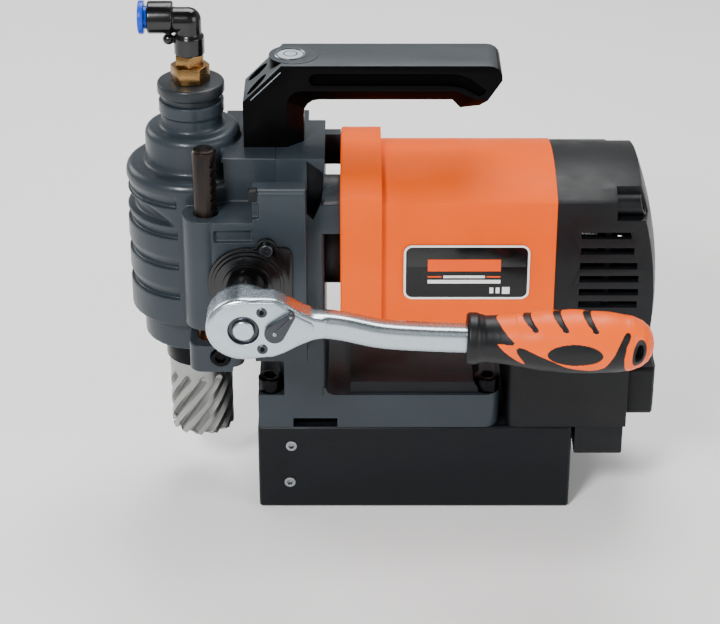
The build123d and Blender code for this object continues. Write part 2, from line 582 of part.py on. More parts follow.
def motor_screws():
    screw = Rot(0, 90, 0) * cap_screw(4.0, 4.0, 2.0, 47, 3)
    return solids(*[Pos(SCREW_SEAT_X, y, z) * screw for y, z in MOTOR_SCREW_YZ])


def gearbox_neck():
    neck = xcyl(0, MOTOR_Z, 28.5, COLUMN_X, FLANGE_X0) + xcyl(0, MOTOR_Z, 16, -52, COLUMN_X + 0.1)
    neck -= xcyl(0, MOTOR_Z, 8, -53, FLANGE_X0 + 1)
    neck -= block(COLUMN_X - 1, FLANGE_X0 + 1, -30, 30, LAY_Z - 3, LAY_Z + 12)
    return neck - xcyl(0, MOTOR_Z, 13, -48, FLANGE_X0 + 1)


def stator():
    core = xring(0, MOTOR_Z, STATOR_R, ROTOR_R + 1.0, -4, 49)
    for side in (-1, 1):
        for end in (-1, 1):
            core -= Pos(22.5, side * 24, MOTOR_Z + end * 18) * Box(55, 10, 10)
    return core


def stator_windings():
    coils = []
    for side in (-1, 1):
        for end in (-1, 1):
            coils.append(Pos(22.5, side * 24, MOTOR_Z + end * 18) * Box(63, 9.6, 9.6))
    return solids(*coils)


def brush_holders():
    holders = []
    for side in (-1, 1):
        y0, y1 = sorted((side * 14, side * STATOR_R))
        outer = block(55, 65, y0, y1, MOTOR_Z - 5, MOTOR_Z + 5)
        holders.append(outer - block(57, 63, y0 - 1, y1 + 1, MOTOR_Z - 3, MOTOR_Z + 3))
    return solids(*holders)


def carbon_brushes():
    brushes = []
    for side in (-1, 1):
        y0, y1 = sorted((side * 12.4, side * 30))
        brushes.append(block(57, 63, y0, y1, MOTOR_Z - 3, MOTOR_Z + 3))
    return solids(*brushes)


def name_plate():
    return along_y(Pos(25.9, 145.3) * RectangleRounded(65.6, 31.4, 4), -41.0, 1.0)


# ---------------------------------------------------------------- control box
def control_box():
    body = block(BOX_X0, BOX_X1, -HALF_W, HALF_W, MAGNET_H, BOX_TOP)
    body = fillet(body.edges().filter_by(Axis.Z).sort_by(Axis.X)[:2], 5)
    body = fillet(body.faces().sort_by(Axis.Z)[-1].edges(), 2)
    body -= block(BOX_X0 + 3, BOX_X1 - 3, -HALF_W + 3, HALF_W - 3, MAGNET_H + 3, BOX_TOP - 3)
    body -= block(BOX_X1 - 4, BOX_X1 + 1, -31, 31, 58, 81)
    body -= zcyl(GROMMET_X, 0, 7, BOX_TOP - 4, BOX_TOP + 1)
    body -= ycyl(GLAND_X, GLAND_Z, 7, HALF_W - 4, HALF_W + 1)
    body -= block(92, 107, -20, 20, MAGNET_H - 1, MAGNET_H + 4)
    return body


def motor_lead_grommet():
    sleeve = zring(GROMMET_X, 0, 7, 3, BOX_TOP - 3, BOX_TOP + 12)
    return sleeve + zring(GROMMET_X, 0, 9, 3, BOX_TOP, BOX_TOP + 9.9)


def switch_panel():
    body = block(BOX_X1, PANEL_X, -35, 35, 54.7, 84)
    body = fillet(body.edges().filter_by(Axis.X), 3)
    body = chamfer(body.faces().sort_by(Axis.X)[-1].edges(), 1.0)
    body -= block(BOX_X1 - 1, PANEL_X - 2.5, -32, 32, 57.7, 81)
    body += block(PANEL_X - 1, PANEL_X + 1, SWITCH_Y - 9.5, SWITCH_Y + 9.5, SWITCH_Z - 12.5, SWITCH_Z + 12.5)
    body -= block(PANEL_X - 4, PANEL_X + 2, SWITCH_Y - 7.3, SWITCH_Y + 7.3, SWITCH_Z - 10.6, SWITCH_Z + 10.6)
    for y, r in ((START_Y, 6.0), (STOP_Y, 7.0)):
        body += xcyl(y, SWITCH_Z, r + 2.2, PANEL_X - 0.5, PANEL_X + 1.4)
        body -= xcyl(y, SWITCH_Z, r + 0.15, PANEL_X - 4, PANEL_X + 2)
    return body


def magnet_switch():
    paddle = ycyl(ROCKER_X, SWITCH_Z, 10.2, SWITCH_Y - 7, SWITCH_Y + 7)
    paddle &= block(ROCKER_X - 3, PANEL_X + 4, SWITCH_Y - 7, SWITCH_Y + 7, SWITCH_Z - 10.2, SWITCH_Z + 10.2)
    front = Polygon((-4, -20), (8.3, -20), (8.3, -8), (7.0, 0), (8.3, 8), (8.3, 20), (-4, 20), align=None)
    paddle &= along_y(Pos(ROCKER_X, SWITCH_Z) * front, SWITCH_Y + 8, 16)
    return Pos(ROCKER_X, 0, SWITCH_Z) * Rot(0, -7, 0) * Pos(-ROCKER_X, 0, -SWITCH_Z) * paddle


def push_button(y, r, reach):
    button = xcyl(y, SWITCH_Z, r, PANEL_X - 8, PANEL_X + reach)
    button = fillet(button.faces().sort_by(Axis.X)[-1].edges(), 1.0)
    return button + xcyl(y, SWITCH_Z, r + 1.2, PANEL_X - 8, PANEL_X - 6)


def start_button():
    return push_button(START_Y, 6.0, 3.6)


def stop_button():
    return push_button(STOP_Y, 7.0, 5.0)


def cable_cover():
    body = block(86.5, 112.5, -HALF_W + 0.5, HALF_W - 0.5, 34, MAGNET_H)
    body = fillet(body.faces().sort_by(Axis.Z)[0].edges(), 1.5)
    return body - block(89.5, 109.5, -HALF_W + 3.5, HALF_W - 3.5, 37, MAGNET_H + 1)


def circuit_board():
    board = block(56, 108, -34, 34, 58, 59.6)
    for x, y, h in ((66, -20, 12), (66, 8, 16), (90, -14, 9), (90, 16, 14)):
        board += block(x - 6, x + 6, y - 7, y + 7, 59.5, 59.5 + h)
    for x in (60, 104):
        for y in (-30, 30):
            board += zcyl(x, y, 3, MAGNET_H + 3, 58.5)
    return board


def cable_gland():
    gland = ycyl(GLAND_X, GLAND_Z, 7, HALF_W - 6, HALF_W + 0.1)
    gland += along_y(Pos(GLAND_X, GLAND_Z) * RegularPolygon(10, 6), HALF_W + 6, 6)
    gland += ycyl(GLAND_X, GLAND_Z, 7.4, HALF_W + 5.9, HALF_W + 13)
    return gland - ycyl(GLAND_X, GLAND_Z, 3.6, HALF_W - 8, HALF_W + 14)


# ---------------------------------------------------------------- carry handle and level
def carry_handle():
    sections = []
    for y, lower in ((-HANDLE_HALF, HANDLE_FACE), (-HANDLE_CORE, HANDLE_INNER),
                     (HANDLE_CORE, HANDLE_INNER), (HANDLE_HALF, HANDLE_FACE)):
        plane = Plane((0, y, 0), x_dir=(1, 0, 0), z_dir=(0, -1, 0))
        sections.append(plane * Polygon(*(HANDLE_TOP_EDGE + lower), align=None))
    body = loft(sections, ruled=True)
    for side in (-1, 1):
        y0, y1 = sorted((side * (HANDLE_HALF - 1.6), side * (HANDLE_HALF + 1)))
        body -= block(-56, 24, y0, y1, 238.5, 245.5)
    body += zcyl(LEVEL_X, 0, LEVEL_R + 3, HANDLE_TOP - 12, HANDLE_TOP)
    for x, y in HANDLE_SCREWS:
        body -= zcyl(x, y, 2.5, TOP_Z - 1, 222)
    body -= zcyl(LEVEL_X, 0, LEVEL_R, HANDLE_TOP - 9, HANDLE_TOP + 1)
    return body


def handle_screws():
    return solids(*[zcyl(x, y, 2.5, 194.5, 221.5) for x, y in HANDLE_SCREWS])


def level_bezel():
    cup = zring(LEVEL_X, 0, LEVEL_R, 6.0, HANDLE_TOP - 9, HANDLE_TOP + 0.7)
    return cup + zcyl(LEVEL_X, 0, 7, HANDLE_TOP - 9, HANDLE_TOP - 7.5)


def level_vial():
    return zcyl(LEVEL_X, 0, 6.0, HANDLE_TOP - 7.5, HANDLE_TOP + 0.1)


# ---------------------------------------------------------------- coolant fitting
def hexagon(flats, turn, z0, z1):
    return Pos(FIT_X, 0, z0) * extrude(Rot(0, 0, turn) * RegularPolygon(flats / math.sqrt(3), 6), z1 - z0)


def coolant_adapter():
    body = hexagon(18.0, 0, CAP_Z1, 245) & zcyl(FIT_X, 0, 10.1, CAP_Z1, 245)
    body += zcyl(FIT_X, 0, 6, 227, CAP_Z1 + 0.1)
    return body - zcyl(FIT_X, 0, 4.4, 226, 246)


def fitting_stem():
    body = hexagon(14.0, 30, 245, 251) + zcyl(FIT_X, 0, 4.4, 234, 245.1) + zcyl(FIT_X, 0, 5, 250.9, 262)
    return body - zcyl(FIT_X, 0, 2.6, 233, 263)


def elbow_body():
    leg = [(0, 251.2), (7.85, 251.2), (7.85, 260.4), (CORNER_R, 262.2), (CORNER_R, CORNER_Z), (0, CORNER_Z)]
    body = turned(leg, Pos(FIT_X, 0, 0))
    body += Pos(FIT_X, 0, CORNER_Z) * Sphere(CORNER_R)
    body += xcyl(0, CORNER_Z, CORNER_R, ARM_X + 12, FIT_X)
    collar = xcyl(0, ARM_Z, ARM_R, ARM_X, ARM_X + 13.2)
    body += chamfer(collar.edges().filter_by(GeomType.CIRCLE), 0.7)
    body += Pos(ARM_X + 10.5, 0, 258.7) * Sphere(3.0) + zcyl(ARM_X + 10.5, 0, 1.4, 259, 264)
    body -= zcyl(FIT_X, 0, 5 + RUN, 250, 262.3)
    body -= zcyl(FIT_X, 0, 2.8, 262, ARM_Z)
    body -= xcyl(0, ARM_Z, 2.8, COLLET_IN, FIT_X)
    return body - xcyl(0, ARM_Z, 5.9 + RUN, ARM_X - 1, COLLET_IN + 2)


def release_collet():
    body = xcyl(0, ARM_Z, 8.6, COLLET_X, ARM_X - 1.7)
    body = fillet(body.faces().sort_by(Axis.X)[0].edges(), 0.8)
    body += xcyl(0, ARM_Z, 5.9, ARM_X - 2, COLLET_IN)
    return body - xcyl(0, ARM_Z, TUBE_R, COLLET_X - 1, COLLET_IN + 1)


# ---------------------------------------------------------------- ratchet wrench
def drive_anvil():
    body = ycyl(PINION_X, PINION_Z, 12, -103.9, HEAD_Y1 - 0.2) + ycyl(PINION_X, PINION_Z, 8.2, -106.2, -103)
    square = along_y(Pos(PINION_X, PINION_Z) * Rectangle(12.7, 12.7), -67, 22)
    body += chamfer(square.faces().sort_by(Axis.Y)[-1].edges(), 0.8)
    return body - ycyl(PINION_X, PINION_Z, 5.4 + RUN, -107, -94)


def release_button():
    button = ycyl(PINION_X, PINION_Z, 5.4, -108.8, -97)
    return fillet(button.faces().sort_by(Axis.Y)[0].edges(), 1.0)


def ratchet_wrench():
    head = along_y(Pos(PINION_X, PINION_Z) * Ellipse(19.0, 17.2), HEAD_Y1, HEAD_Y1 - HEAD_Y0)
    head = fillet(head.faces().sort_by(Axis.Y)[0].edges(), 2.2)
    head = fillet(head.faces().sort_by(Axis.Y)[-1].edges(), 3.0)
    path = Spline(*[(x, SHANK_Y, z) for x, z in SHANK_PATH])
    section = Plane(path @ 0, x_dir=(0, 1, 0), z_dir=path % 0) * RectangleRounded(12.5, 13.6, 4)
    neck = Polygon((-84, 163.9), (-72, 163.6), (-66, 160.8), (-59.5, 156.4), (-53, 153.4), (-47, 152.0),
                   (-47, 141.9), (-53, 140.6), (-60, 137.4), (-67, 133.4), (-73, 131), (-84, 130.1),
                   align=None)
    body = head + along_y(neck, -93.5, 13.2)
    body += sweep(section, path=path)
    body -= ycyl(PINION_X, PINION_Z, 12 + RUN, -104, -80)
    body -= ycyl(PINION_X, PINION_Z, 8.35, -110, -100)
    body -= ycyl(LEVER_X, LEVER_Z, 2.5 + RUN, -110, -98)
    for x, z in WRENCH_SCREWS:
        body -= ycyl(x, z, 1.6, -110, -104.5)
    return body + turned_along_grip([(0, 4), (5.5, 4), (5.5, 60), (0, 60)])


def wrench_screws():
    screws = []
    for x, z in WRENCH_SCREWS:
        screw = ycyl(x, z, 2.8, HEAD_Y0 - 1.0, HEAD_Y0) + ycyl(x, z, 1.6, HEAD_Y0 - 0.1, -104.5)
        screws.append(screw - block(x - 0.4, x + 0.4, HEAD_Y0 - 2, HEAD_Y0 - 0.5, z - 2, z + 2))
    return solids(*screws)


def wrench_lever():
    dx, dz = LEVER_TIP
    tip = (LEVER_X + dx, LEVER_Z + dz)
    angle = math.atan2(dz, dx)
    spread = math.asin((LEVER_R - LEVER_TIP_R) / math.hypot(dx, dz))
    ends = []
    for sign in (1, -1):
        turn = angle + sign * (math.pi / 2 - spread)
        ends.append([(LEVER_X + LEVER_R * math.cos(turn), LEVER_Z + LEVER_R * math.sin(turn)),
                     (tip[0] + LEVER_TIP_R * math.cos(turn), tip[1] + LEVER_TIP_R * math.sin(turn))])
    web = Polygon(ends[0][0], ends[0][1], ends[1][1], ends[1][0], align=None)
    outline = web + Pos(LEVER_X, LEVER_Z) * Circle(LEVER_R) + Pos(*tip) * Circle(LEVER_TIP_R)
    return along_y(outline, HEAD_Y0 - 0.3, 2.6) + ycyl(LEVER_X, LEVER_Z, 2.5, HEAD_Y0 - 0.4, -98.5)


def on_grip(shape):
    return Pos(GRIP_X0, SHANK_Y, GRIP_Z) * Rot(0, GRIP_TILT, 0) * shape


def grip_outline(inner):
    """(r, distance) outline of the moulded grip along its own axis."""
    body = [(13.0, 6.5), (12.2, 12), (12.0, 17), (13.2, 26), (15.0, 38), (16.0, 52), (15.8, 62), (15.0, 76),
            (14.2, 82.5), (12.6, 88.3), (9.5, 92.2), (5.0, 93.6), (0, 93.8)]
    return [(0, 60), (inner, 60), (inner, 6.5)] + body


def turned_along_grip(points):
    outline = Plane.XZ * Polygon(*[(z, r) for r, z in points], align=None)
    return on_grip(revolve(outline, axis=Axis.X))


def handle_grip():
    return turned_along_grip(grip_outline(5.5)) - on_grip(ycyl(86.6, 0, 2.6, -20, 20))


def grip_collar():
    ring = turned_along_grip([(0, 0), (12.2, 0), (13.0, 1.2), (13.0, 6.5), (0, 6.5)])
    return ring - ratchet_wrench()


PARTS = [
    magnet_block, magnet_coil, magnet_side_screws, frame_casting, frame_screws, head_casting,
    spindle_cap, pinion_cover, cover_screw, gearbox_neck, motor_housing, motor_rear_cap,
    motor_screws, stator, stator_windings, brush_holders, carbon_brushes, name_plate, control_box,
    motor_lead_grommet, switch_panel, cable_cover, circuit_board, cable_gland, carry_handle,
    handle_screws, level_bezel, level_vial, coolant_adapter, fitting_stem, elbow_body,
    release_collet, armature_shaft, armature_core, commutator, cooling_fan, bevel_shaft,
    layshaft_gear, drive_sleeve, gearbox_bearings, rack_rod, feed_yoke, yoke_screw, quill,
    quill_bearings, spindle, arbor_screws, annular_cutter, pilot_pin, feed_pinion, drive_anvil,
    release_button, ratchet_wrench, wrench_screws, wrench_lever, handle_grip, grip_collar,
    magnet_switch, start_button, stop_button,
]

os.makedirs("parts", exist_ok=True)
for make in PARTS:
    export_step(make(), f"parts/{make.__name__}.step")
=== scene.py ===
import bpy
import bmesh
import json
import math
from mathutils import Matrix, Vector


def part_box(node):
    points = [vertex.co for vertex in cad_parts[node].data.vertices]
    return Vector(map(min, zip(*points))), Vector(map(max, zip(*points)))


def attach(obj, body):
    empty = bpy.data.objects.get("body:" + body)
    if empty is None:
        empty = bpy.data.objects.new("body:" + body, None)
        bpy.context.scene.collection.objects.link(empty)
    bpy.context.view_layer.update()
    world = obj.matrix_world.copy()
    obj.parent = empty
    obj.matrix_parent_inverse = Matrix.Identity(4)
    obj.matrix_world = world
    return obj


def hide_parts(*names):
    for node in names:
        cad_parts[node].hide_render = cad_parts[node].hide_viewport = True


# Magnetic drill press: materials, softened castings and the moulded parts around the CAD frame.
# Lengths are millimetres in the frame that the CAD uses, unless a comment says otherwise, and MM turns them
# into metres.

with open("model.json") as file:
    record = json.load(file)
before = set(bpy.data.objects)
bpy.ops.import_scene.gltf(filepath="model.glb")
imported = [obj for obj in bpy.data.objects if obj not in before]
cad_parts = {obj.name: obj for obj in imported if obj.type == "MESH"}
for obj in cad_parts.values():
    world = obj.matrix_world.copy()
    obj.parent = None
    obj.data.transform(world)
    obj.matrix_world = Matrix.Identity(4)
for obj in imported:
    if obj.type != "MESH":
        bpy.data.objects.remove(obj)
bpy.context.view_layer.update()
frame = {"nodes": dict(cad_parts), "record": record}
MM = 0.001
NODES = frame["nodes"]
RECORD = frame["record"]
BODY_OF = {n: body for body, names in RECORD["behaviour"]["bodies"].items() for n in names}
SLOT_OF = {s["node"]: s["material_slot"] for s in RECORD["subparts"]}


# ---------------------------------------------------------------- materials
# noise scales are per metre, and bump distances are metres
TONE_SCALE, GLOSS_SCALE, WAVE_SCALE, STAIN_SCALE = 28, 60, 130, 70
SPECK_SCALE, SPECK_FROM, SPECK_TO = 1500, 0.74, 0.8
GRAIN_BUMP, WAVE_BUMP, STREAK_BUMP = 0.0004, 0.0006, 0.0002
GREASE_TOP, GREASE_FULL = 0.122, 0.112  # metres above the floor


def linear(rgb):
    """An 8 bit sRGB colour as linear values."""
    out = []
    for c in rgb:
        v = c / 255
        out.append(v / 12.92 if v <= 0.04045 else ((v + 0.055) / 1.055) ** 2.4)
    return tuple(out) + (1.0,)


class Graph:
    """A small helper that adds and links shader nodes."""

    def __init__(self, name):
        self.mat = bpy.data.materials.new(name)
        self.mat.use_nodes = True
        self.tree = self.mat.node_tree
        self.shader = self.tree.nodes["Principled BSDF"]
        self.place = self.add("ShaderNodeTexCoord").outputs["Object"]

    def add(self, kind, **values):
        node = self.tree.nodes.new(kind)
        for key, value in values.items():
            setattr(node, key, value)
        return node

    def link(self, a, b):
        self.tree.links.new(a, b)

    def noise(self, per_metre, detail=3.0, rough=0.55, stretch=(1, 1, 1)):
        mapping = self.add("ShaderNodeMapping")
        mapping.inputs["Scale"].default_value = stretch
        self.link(self.place, mapping.inputs["Vector"])
        node = self.add("ShaderNodeTexNoise")
        node.inputs["Scale"].default_value = per_metre
        node.inputs["Detail"].default_value = detail
        node.inputs["Roughness"].default_value = rough
        self.link(mapping.outputs["Vector"], node.inputs["Vector"])
        return node.outputs["Fac"]

    def span(self, value, low, high, from_low=0.3, from_high=0.7):
        node = self.add("ShaderNodeMapRange")
        node.inputs["From Min"].default_value = from_low
        node.inputs["From Max"].default_value = from_high
        node.inputs["To Min"].default_value = low
        node.inputs["To Max"].default_value = high
        self.link(value, node.inputs["Value"])
        return node.outputs["Result"]

    def mix(self, factor, a, b):
        node = self.add("ShaderNodeMix", data_type="RGBA")
        self.link(factor, node.inputs["Factor"])
        for socket, value in ((node.inputs[6], a), (node.inputs[7], b)):
            if isinstance(value, tuple):
                socket.default_value = value
            else:
                self.link(value, socket)
        return node.outputs[2]

    def bump(self, height, strength, distance, under=None):
        node = self.add("ShaderNodeBump")
        node.inputs["Strength"].default_value = strength
        node.inputs["Distance"].default_value = distance
        self.link(height, node.inputs["Height"])
        if under is not None:
            self.link(under, node.inputs["Normal"])
        return node.outputs["Normal"]

    def set(self, **values):
        for key, value in values.items():
            self.shader.inputs[key.replace("_", " ")].default_value = value


def shade(colour, factor):
    """A linear colour made lighter or darker."""
    return tuple(min(1.0, c * factor) for c in colour[:3]) + (1.0,)


def coated(name, rgb, rough, grain=900, depth=0.15, mottle=0.12, coat=0.0, glint=None, specular=0.5,
           ior=1.5):
    """Paint or moulded plastic: fine grain, broad tone changes and scattered light specks, which are painted
    glints.
    """
    g = Graph(name)
    base = linear(rgb)
    tone = g.mix(g.span(g.noise(TONE_SCALE, 4), 0, 1), shade(base, 1 - mottle), shade(base, 1 + mottle))
    # specks lighter than the base colour: painted glints
    specks = g.span(g.noise(SPECK_SCALE, 1), 0, 1, SPECK_FROM, SPECK_TO)
    tone = g.mix(specks, tone, glint or shade(base, 2.0))
    g.link(tone, g.shader.inputs["Base Color"])
    g.link(g.span(g.noise(GLOSS_SCALE, 3), rough - 0.07, rough + 0.09), g.shader.inputs["Roughness"])
    fine = g.bump(g.noise(grain, 4, 0.6), depth, GRAIN_BUMP)
    g.link(g.bump(g.noise(WAVE_SCALE, 2), 0.08, WAVE_BUMP, fine), g.shader.inputs["Normal"])
    g.set(Specular_IOR_Level=specular, IOR=ior)
    if coat:
        g.set(Coat_Weight=coat, Coat_Roughness=0.16)
    return g.mat


def metal(name, rgb, rough, stretch=(1, 1, 1), streak=700, depth=0.06, stain=0.15, stain_rgb=None,
          contrast=0.35):
    """Bare or plated metal with machining streaks along one axis and faint staining."""
    g = Graph(name)
    base = linear(rgb)
    dark = linear(stain_rgb) if stain_rgb else shade(base, 1 - 2 * stain)
    streaks = g.noise(streak, 3, 0.6, stretch)
    tone = g.mix(g.span(g.noise(STAIN_SCALE, 4), 0, stain * 2, 0.45, 0.75), base, dark)
    tone = g.mix(g.span(streaks, 0, contrast), tone, shade(base, 0.72))
    g.link(tone, g.shader.inputs["Base Color"])
    g.link(g.span(streaks, rough - 0.17 * contrast, rough + 0.28 * contrast), g.shader.inputs["Roughness"])
    g.link(g.bump(streaks, depth, STREAK_BUMP), g.shader.inputs["Normal"])
    g.set(Metallic=1.0)
    return g.mat


def greased_rod():
    """Black oxide steel with brown grease smeared along its lower half."""
    g = Graph("rack_steel")
    base = linear((34, 32, 32))
    streaks = g.noise(260, 4, 0.6, (1, 1, 0.12))
    z = g.add("ShaderNodeSeparateXYZ")
    g.link(g.place, z.inputs["Vector"])
    low = g.span(z.outputs["Z"], 1.0, 0.0, GREASE_FULL, GREASE_TOP)
    smear = g.add("ShaderNodeMath", operation="MULTIPLY")
    g.link(low, smear.inputs[0])
    g.link(g.span(streaks, 0, 1, 0.42, 0.6), smear.inputs[1])
    tone = g.mix(g.span(streaks, 0, 0.45), base, linear((74, 60, 52)))
    g.link(g.mix(smear.outputs[0], tone, linear((150, 84, 20))), g.shader.inputs["Base Color"])
    g.link(g.span(streaks, 0.2, 0.38), g.shader.inputs["Roughness"])
    g.link(g.bump(streaks, 0.1, STREAK_BUMP), g.shader.inputs["Normal"])
    g.set(Metallic=0.85)
    return g.mat


def tinted_glass():
    """The vial's lens, pale from the liquid under it."""
    g = Graph("vial_glass")
    tone = g.mix(g.span(g.noise(90, 3), 0, 1), linear((166, 182, 190)), linear((190, 203, 209)))
    g.link(tone, g.shader.inputs["Base Color"])
    g.link(g.bump(g.noise(200, 2), 0.05, STREAK_BUMP), g.shader.inputs["Normal"])
    g.set(Roughness=0.08, Coat_Weight=1.0, Coat_Roughness=0.04)
    return g.mat


GREY = coated("cast_grey", (41, 49, 55), 0.38, grain=520, depth=0.20, mottle=0.10, coat=0.12, specular=0.25)
GREY_DARK = coated("cast_grey_cap", (31, 36, 40), 0.40, grain=520, depth=0.18, mottle=0.10, coat=0.1,
                   specular=0.25)
# the light orange speck colour is for painted glints
ORANGE = coated("housing_orange", (246, 92, 0), 0.42, grain=420, depth=0.08, mottle=0.04, specular=0.06,
                glint=linear((255, 130, 40)))
BLACK = coated("moulded_black", (12, 14, 17), 0.42, grain=1100, depth=0.20, mottle=0.14, specular=0.25)
SATIN_BLACK = coated("handle_black", (4, 4, 5), 0.34, grain=900, depth=0.06, mottle=0.12, ior=1.14)
# near-black with almost no reflection: painted shade for the handle's grooves and underside
SHADE_BLACK = coated("painted_shade_black", (1, 1, 2), 0.60, grain=900, depth=0.06, mottle=0.12, specular=0.03)
# light grey: a painted highlight on the handle's slanted edge
HIGHLIGHT_GREY = coated("handle_painted_highlight", (128, 136, 141), 0.28, grain=900, depth=0.04, mottle=0.08)
HANDLE_TOP = coated("handle_top", (42, 50, 55), 0.44, grain=900, depth=0.12, mottle=0.08, specular=0.4)
MAGNET = coated("magnet_black", (8, 11, 16), 0.40, grain=760, depth=0.14, mottle=0.10, specular=0.2)
GLOSS_BLACK = coated("gloss_black", (6, 6, 7), 0.18, grain=300, depth=0.02, mottle=0.10)
RUBBER = coated("rubber_black", (15, 16, 18), 0.40, grain=1400, depth=0.18, mottle=0.12, specular=0.3)
GRIP_ORANGE = coated("grip_orange", (252, 95, 0), 0.34, grain=1200, depth=0.08, mottle=0.04, specular=0.2)
BLUE = coated("collet_blue", (4, 62, 190), 0.25, grain=900, depth=0.06, mottle=0.08, specular=0.3)
LABEL = coated("label_film", (14, 15, 17), 0.24, grain=900, depth=0.03, mottle=0.06, specular=0.3)
WHITE = coated("label_white", (240, 240, 238), 0.35, grain=900, depth=0.04, mottle=0.03)
LABEL_ORANGE = coated("label_orange", (240, 84, 0), 0.35, grain=900, depth=0.04, mottle=0.04, specular=0.2)
RED = coated("button_red", (190, 14, 8), 0.26, grain=900, depth=0.06, mottle=0.08)
GREEN = coated("button_green", (10, 120, 46), 0.26, grain=900, depth=0.06, mottle=0.08)
BOARD = coated("board_green", (12, 84, 42), 0.35, grain=700, depth=0.2, mottle=0.2)
CARBON = coated("carbon", (36, 36, 38), 0.6, grain=1300, depth=0.3, mottle=0.15)
CHROME = metal("satin_chrome", (184, 196, 203), 0.26, streak=420, depth=0.004, stain=0.02, contrast=0.1)
CHROME_FACE = metal("satin_face", (190, 203, 211), 0.36, streak=1300, depth=0.03, stain=0.02, contrast=0.2)
DARK_STEEL = metal("dark_steel", (74, 77, 81), 0.34, streak=800, depth=0.06, stain=0.10)
BLACK_OXIDE = metal("black_oxide", (26, 26, 28), 0.30, streak=700, depth=0.06, stain=0.10)
BRIGHT = metal("ground_steel", (156, 160, 164), 0.24, (1, 1, 6), streak=320, depth=0.06, stain=0.10)
CUTTER_STEEL = metal("cutter_steel", (158, 159, 157), 0.29, (1, 1, 0.3), streak=160, depth=0.01, stain=0.08,
                     stain_rgb=(112, 102, 88), contrast=0.3)
BRASS = metal("turned_brass", (152, 118, 74), 0.27, (1, 1, 7), streak=300, depth=0.05, stain=0.10,
              stain_rgb=(104, 70, 36))
COPPER = metal("copper_wire", (168, 92, 52), 0.4, (8, 1, 1), streak=500, depth=0.3, stain=0.12)
IRON = metal("lamination", (92, 92, 94), 0.45, (14, 1, 1), streak=500, depth=0.4, stain=0.12)
RACK_STEEL = greased_rod()
GLASS = tinted_glass()


# ---------------------------------------------------------------- mesh helpers
WELD, FLAT_ANGLE = 2e-6, 0.6  # metres, degrees
ARC_STEPS = 7


def new_object(name, mesh):
    piece = bpy.data.objects.new(name, mesh)
    bpy.context.scene.collection.objects.link(piece)
    return piece


def from_bmesh(name, bm):
    mesh = bpy.data.meshes.new(name)
    bm.normal_update()
    bm.to_mesh(mesh)
    bm.free()
    return new_object(name, mesh)


def applied(piece):
    """Replaces a piece's mesh with its evaluated mesh and drops its modifiers."""
    graph = bpy.context.evaluated_depsgraph_get()
    mesh = bpy.data.meshes.new_from_object(piece.evaluated_get(graph))
    piece.modifiers.clear()
    piece.data = mesh
    return piece


def smooth_by_angle(piece, degrees=32):
    """Shades a piece smooth, with sharp edges where two faces meet at more than the angle."""
    bm = bmesh.new()
    bm.from_mesh(piece.data)
    limit = math.radians(degrees)
    for face in bm.faces:
        face.smooth = True
    for edge in bm.edges:
        edge.smooth = len(edge.link_faces) != 2 or edge.calc_face_angle(0) < limit
    bm.to_mesh(piece.data)
    bm.free()
    return piece


def bevelled(piece, width, segments=2, degrees=28):
    """Rounds every edge sharper than the angle."""
    mod = piece.modifiers.new("edges", "BEVEL")
    mod.width = width * MM
    mod.segments = segments
    mod.limit_method = "ANGLE"
    mod.angle_limit = math.radians(degrees)
    mod.use_clamp_overlap = True
    return smooth_by_angle(applied(piece), 40)


def cut(piece, cutters):
    """Takes closed cutters out of a piece and deletes them."""
    for cutter in cutters:
        mod = piece.modifiers.new("cut", "BOOLEAN")
        mod.operation = "DIFFERENCE"
        mod.solver = "EXACT"
        mod.object = cutter
    applied(piece)
    for cutter in cutters:
        bpy.data.objects.remove(cutter)


def clean_copy(node):
    """A welded copy of a CAD node's mesh, with its flat faces in one piece."""
    bm = bmesh.new()
    bm.from_mesh(NODES[node].data)
    bmesh.ops.remove_doubles(bm, verts=bm.verts, dist=WELD)
    bmesh.ops.dissolve_limit(bm, angle_limit=math.radians(FLAT_ANGLE), verts=bm.verts, edges=bm.edges)
    return from_bmesh(node + "_finish", bm)


def paint(piece, *materials):
    """Adds materials, the first for face index 0, the next for 1 and so on."""
    for material in materials:
        piece.data.materials.append(material)


def finish(piece, node, *materials, also=()):
    """Gives a piece its materials and body, and lets it stand for its CAD node."""
    paint(piece, *materials)
    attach(piece, BODY_OF[node])
    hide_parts(node, *also)


def on_body(piece, body, material):
    """Adds a piece of the looks' own to a body."""
    paint(piece, material)
    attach(piece, body)


def edged(node, width, material):
    """A CAD solid with its edges rounded."""
    finish(bevelled(clean_copy(node), width), node, material)


def cast(node, voxel, rounds, material, keep=0.4):
    """A CAD solid with the soft edges and filled corners of a casting or moulding.

    keep is the part of the remeshed faces that stays.
    """
    piece = clean_copy(node)
    remesh = piece.modifiers.new("skin", "REMESH")
    remesh.mode = "VOXEL"
    remesh.voxel_size = voxel * MM
    relax = piece.modifiers.new("relax", "SMOOTH")
    relax.iterations = rounds
    relax.factor = 0.5
    if keep < 1:
        thin = piece.modifiers.new("thin", "DECIMATE")
        thin.ratio = keep
    applied(piece)
    for face in piece.data.polygons:
        face.use_smooth = True
    finish(piece, node, material)


def arc(cx, cz, r, start, end):
    """Points of an arc in (X, Z), in degrees from X towards Z."""
    points = []
    for step in range(ARC_STEPS + 1):
        a = math.radians(start + (end - start) * step / ARC_STEPS)
        points.append((cx + r * math.cos(a), cz + r * math.sin(a)))
    return points


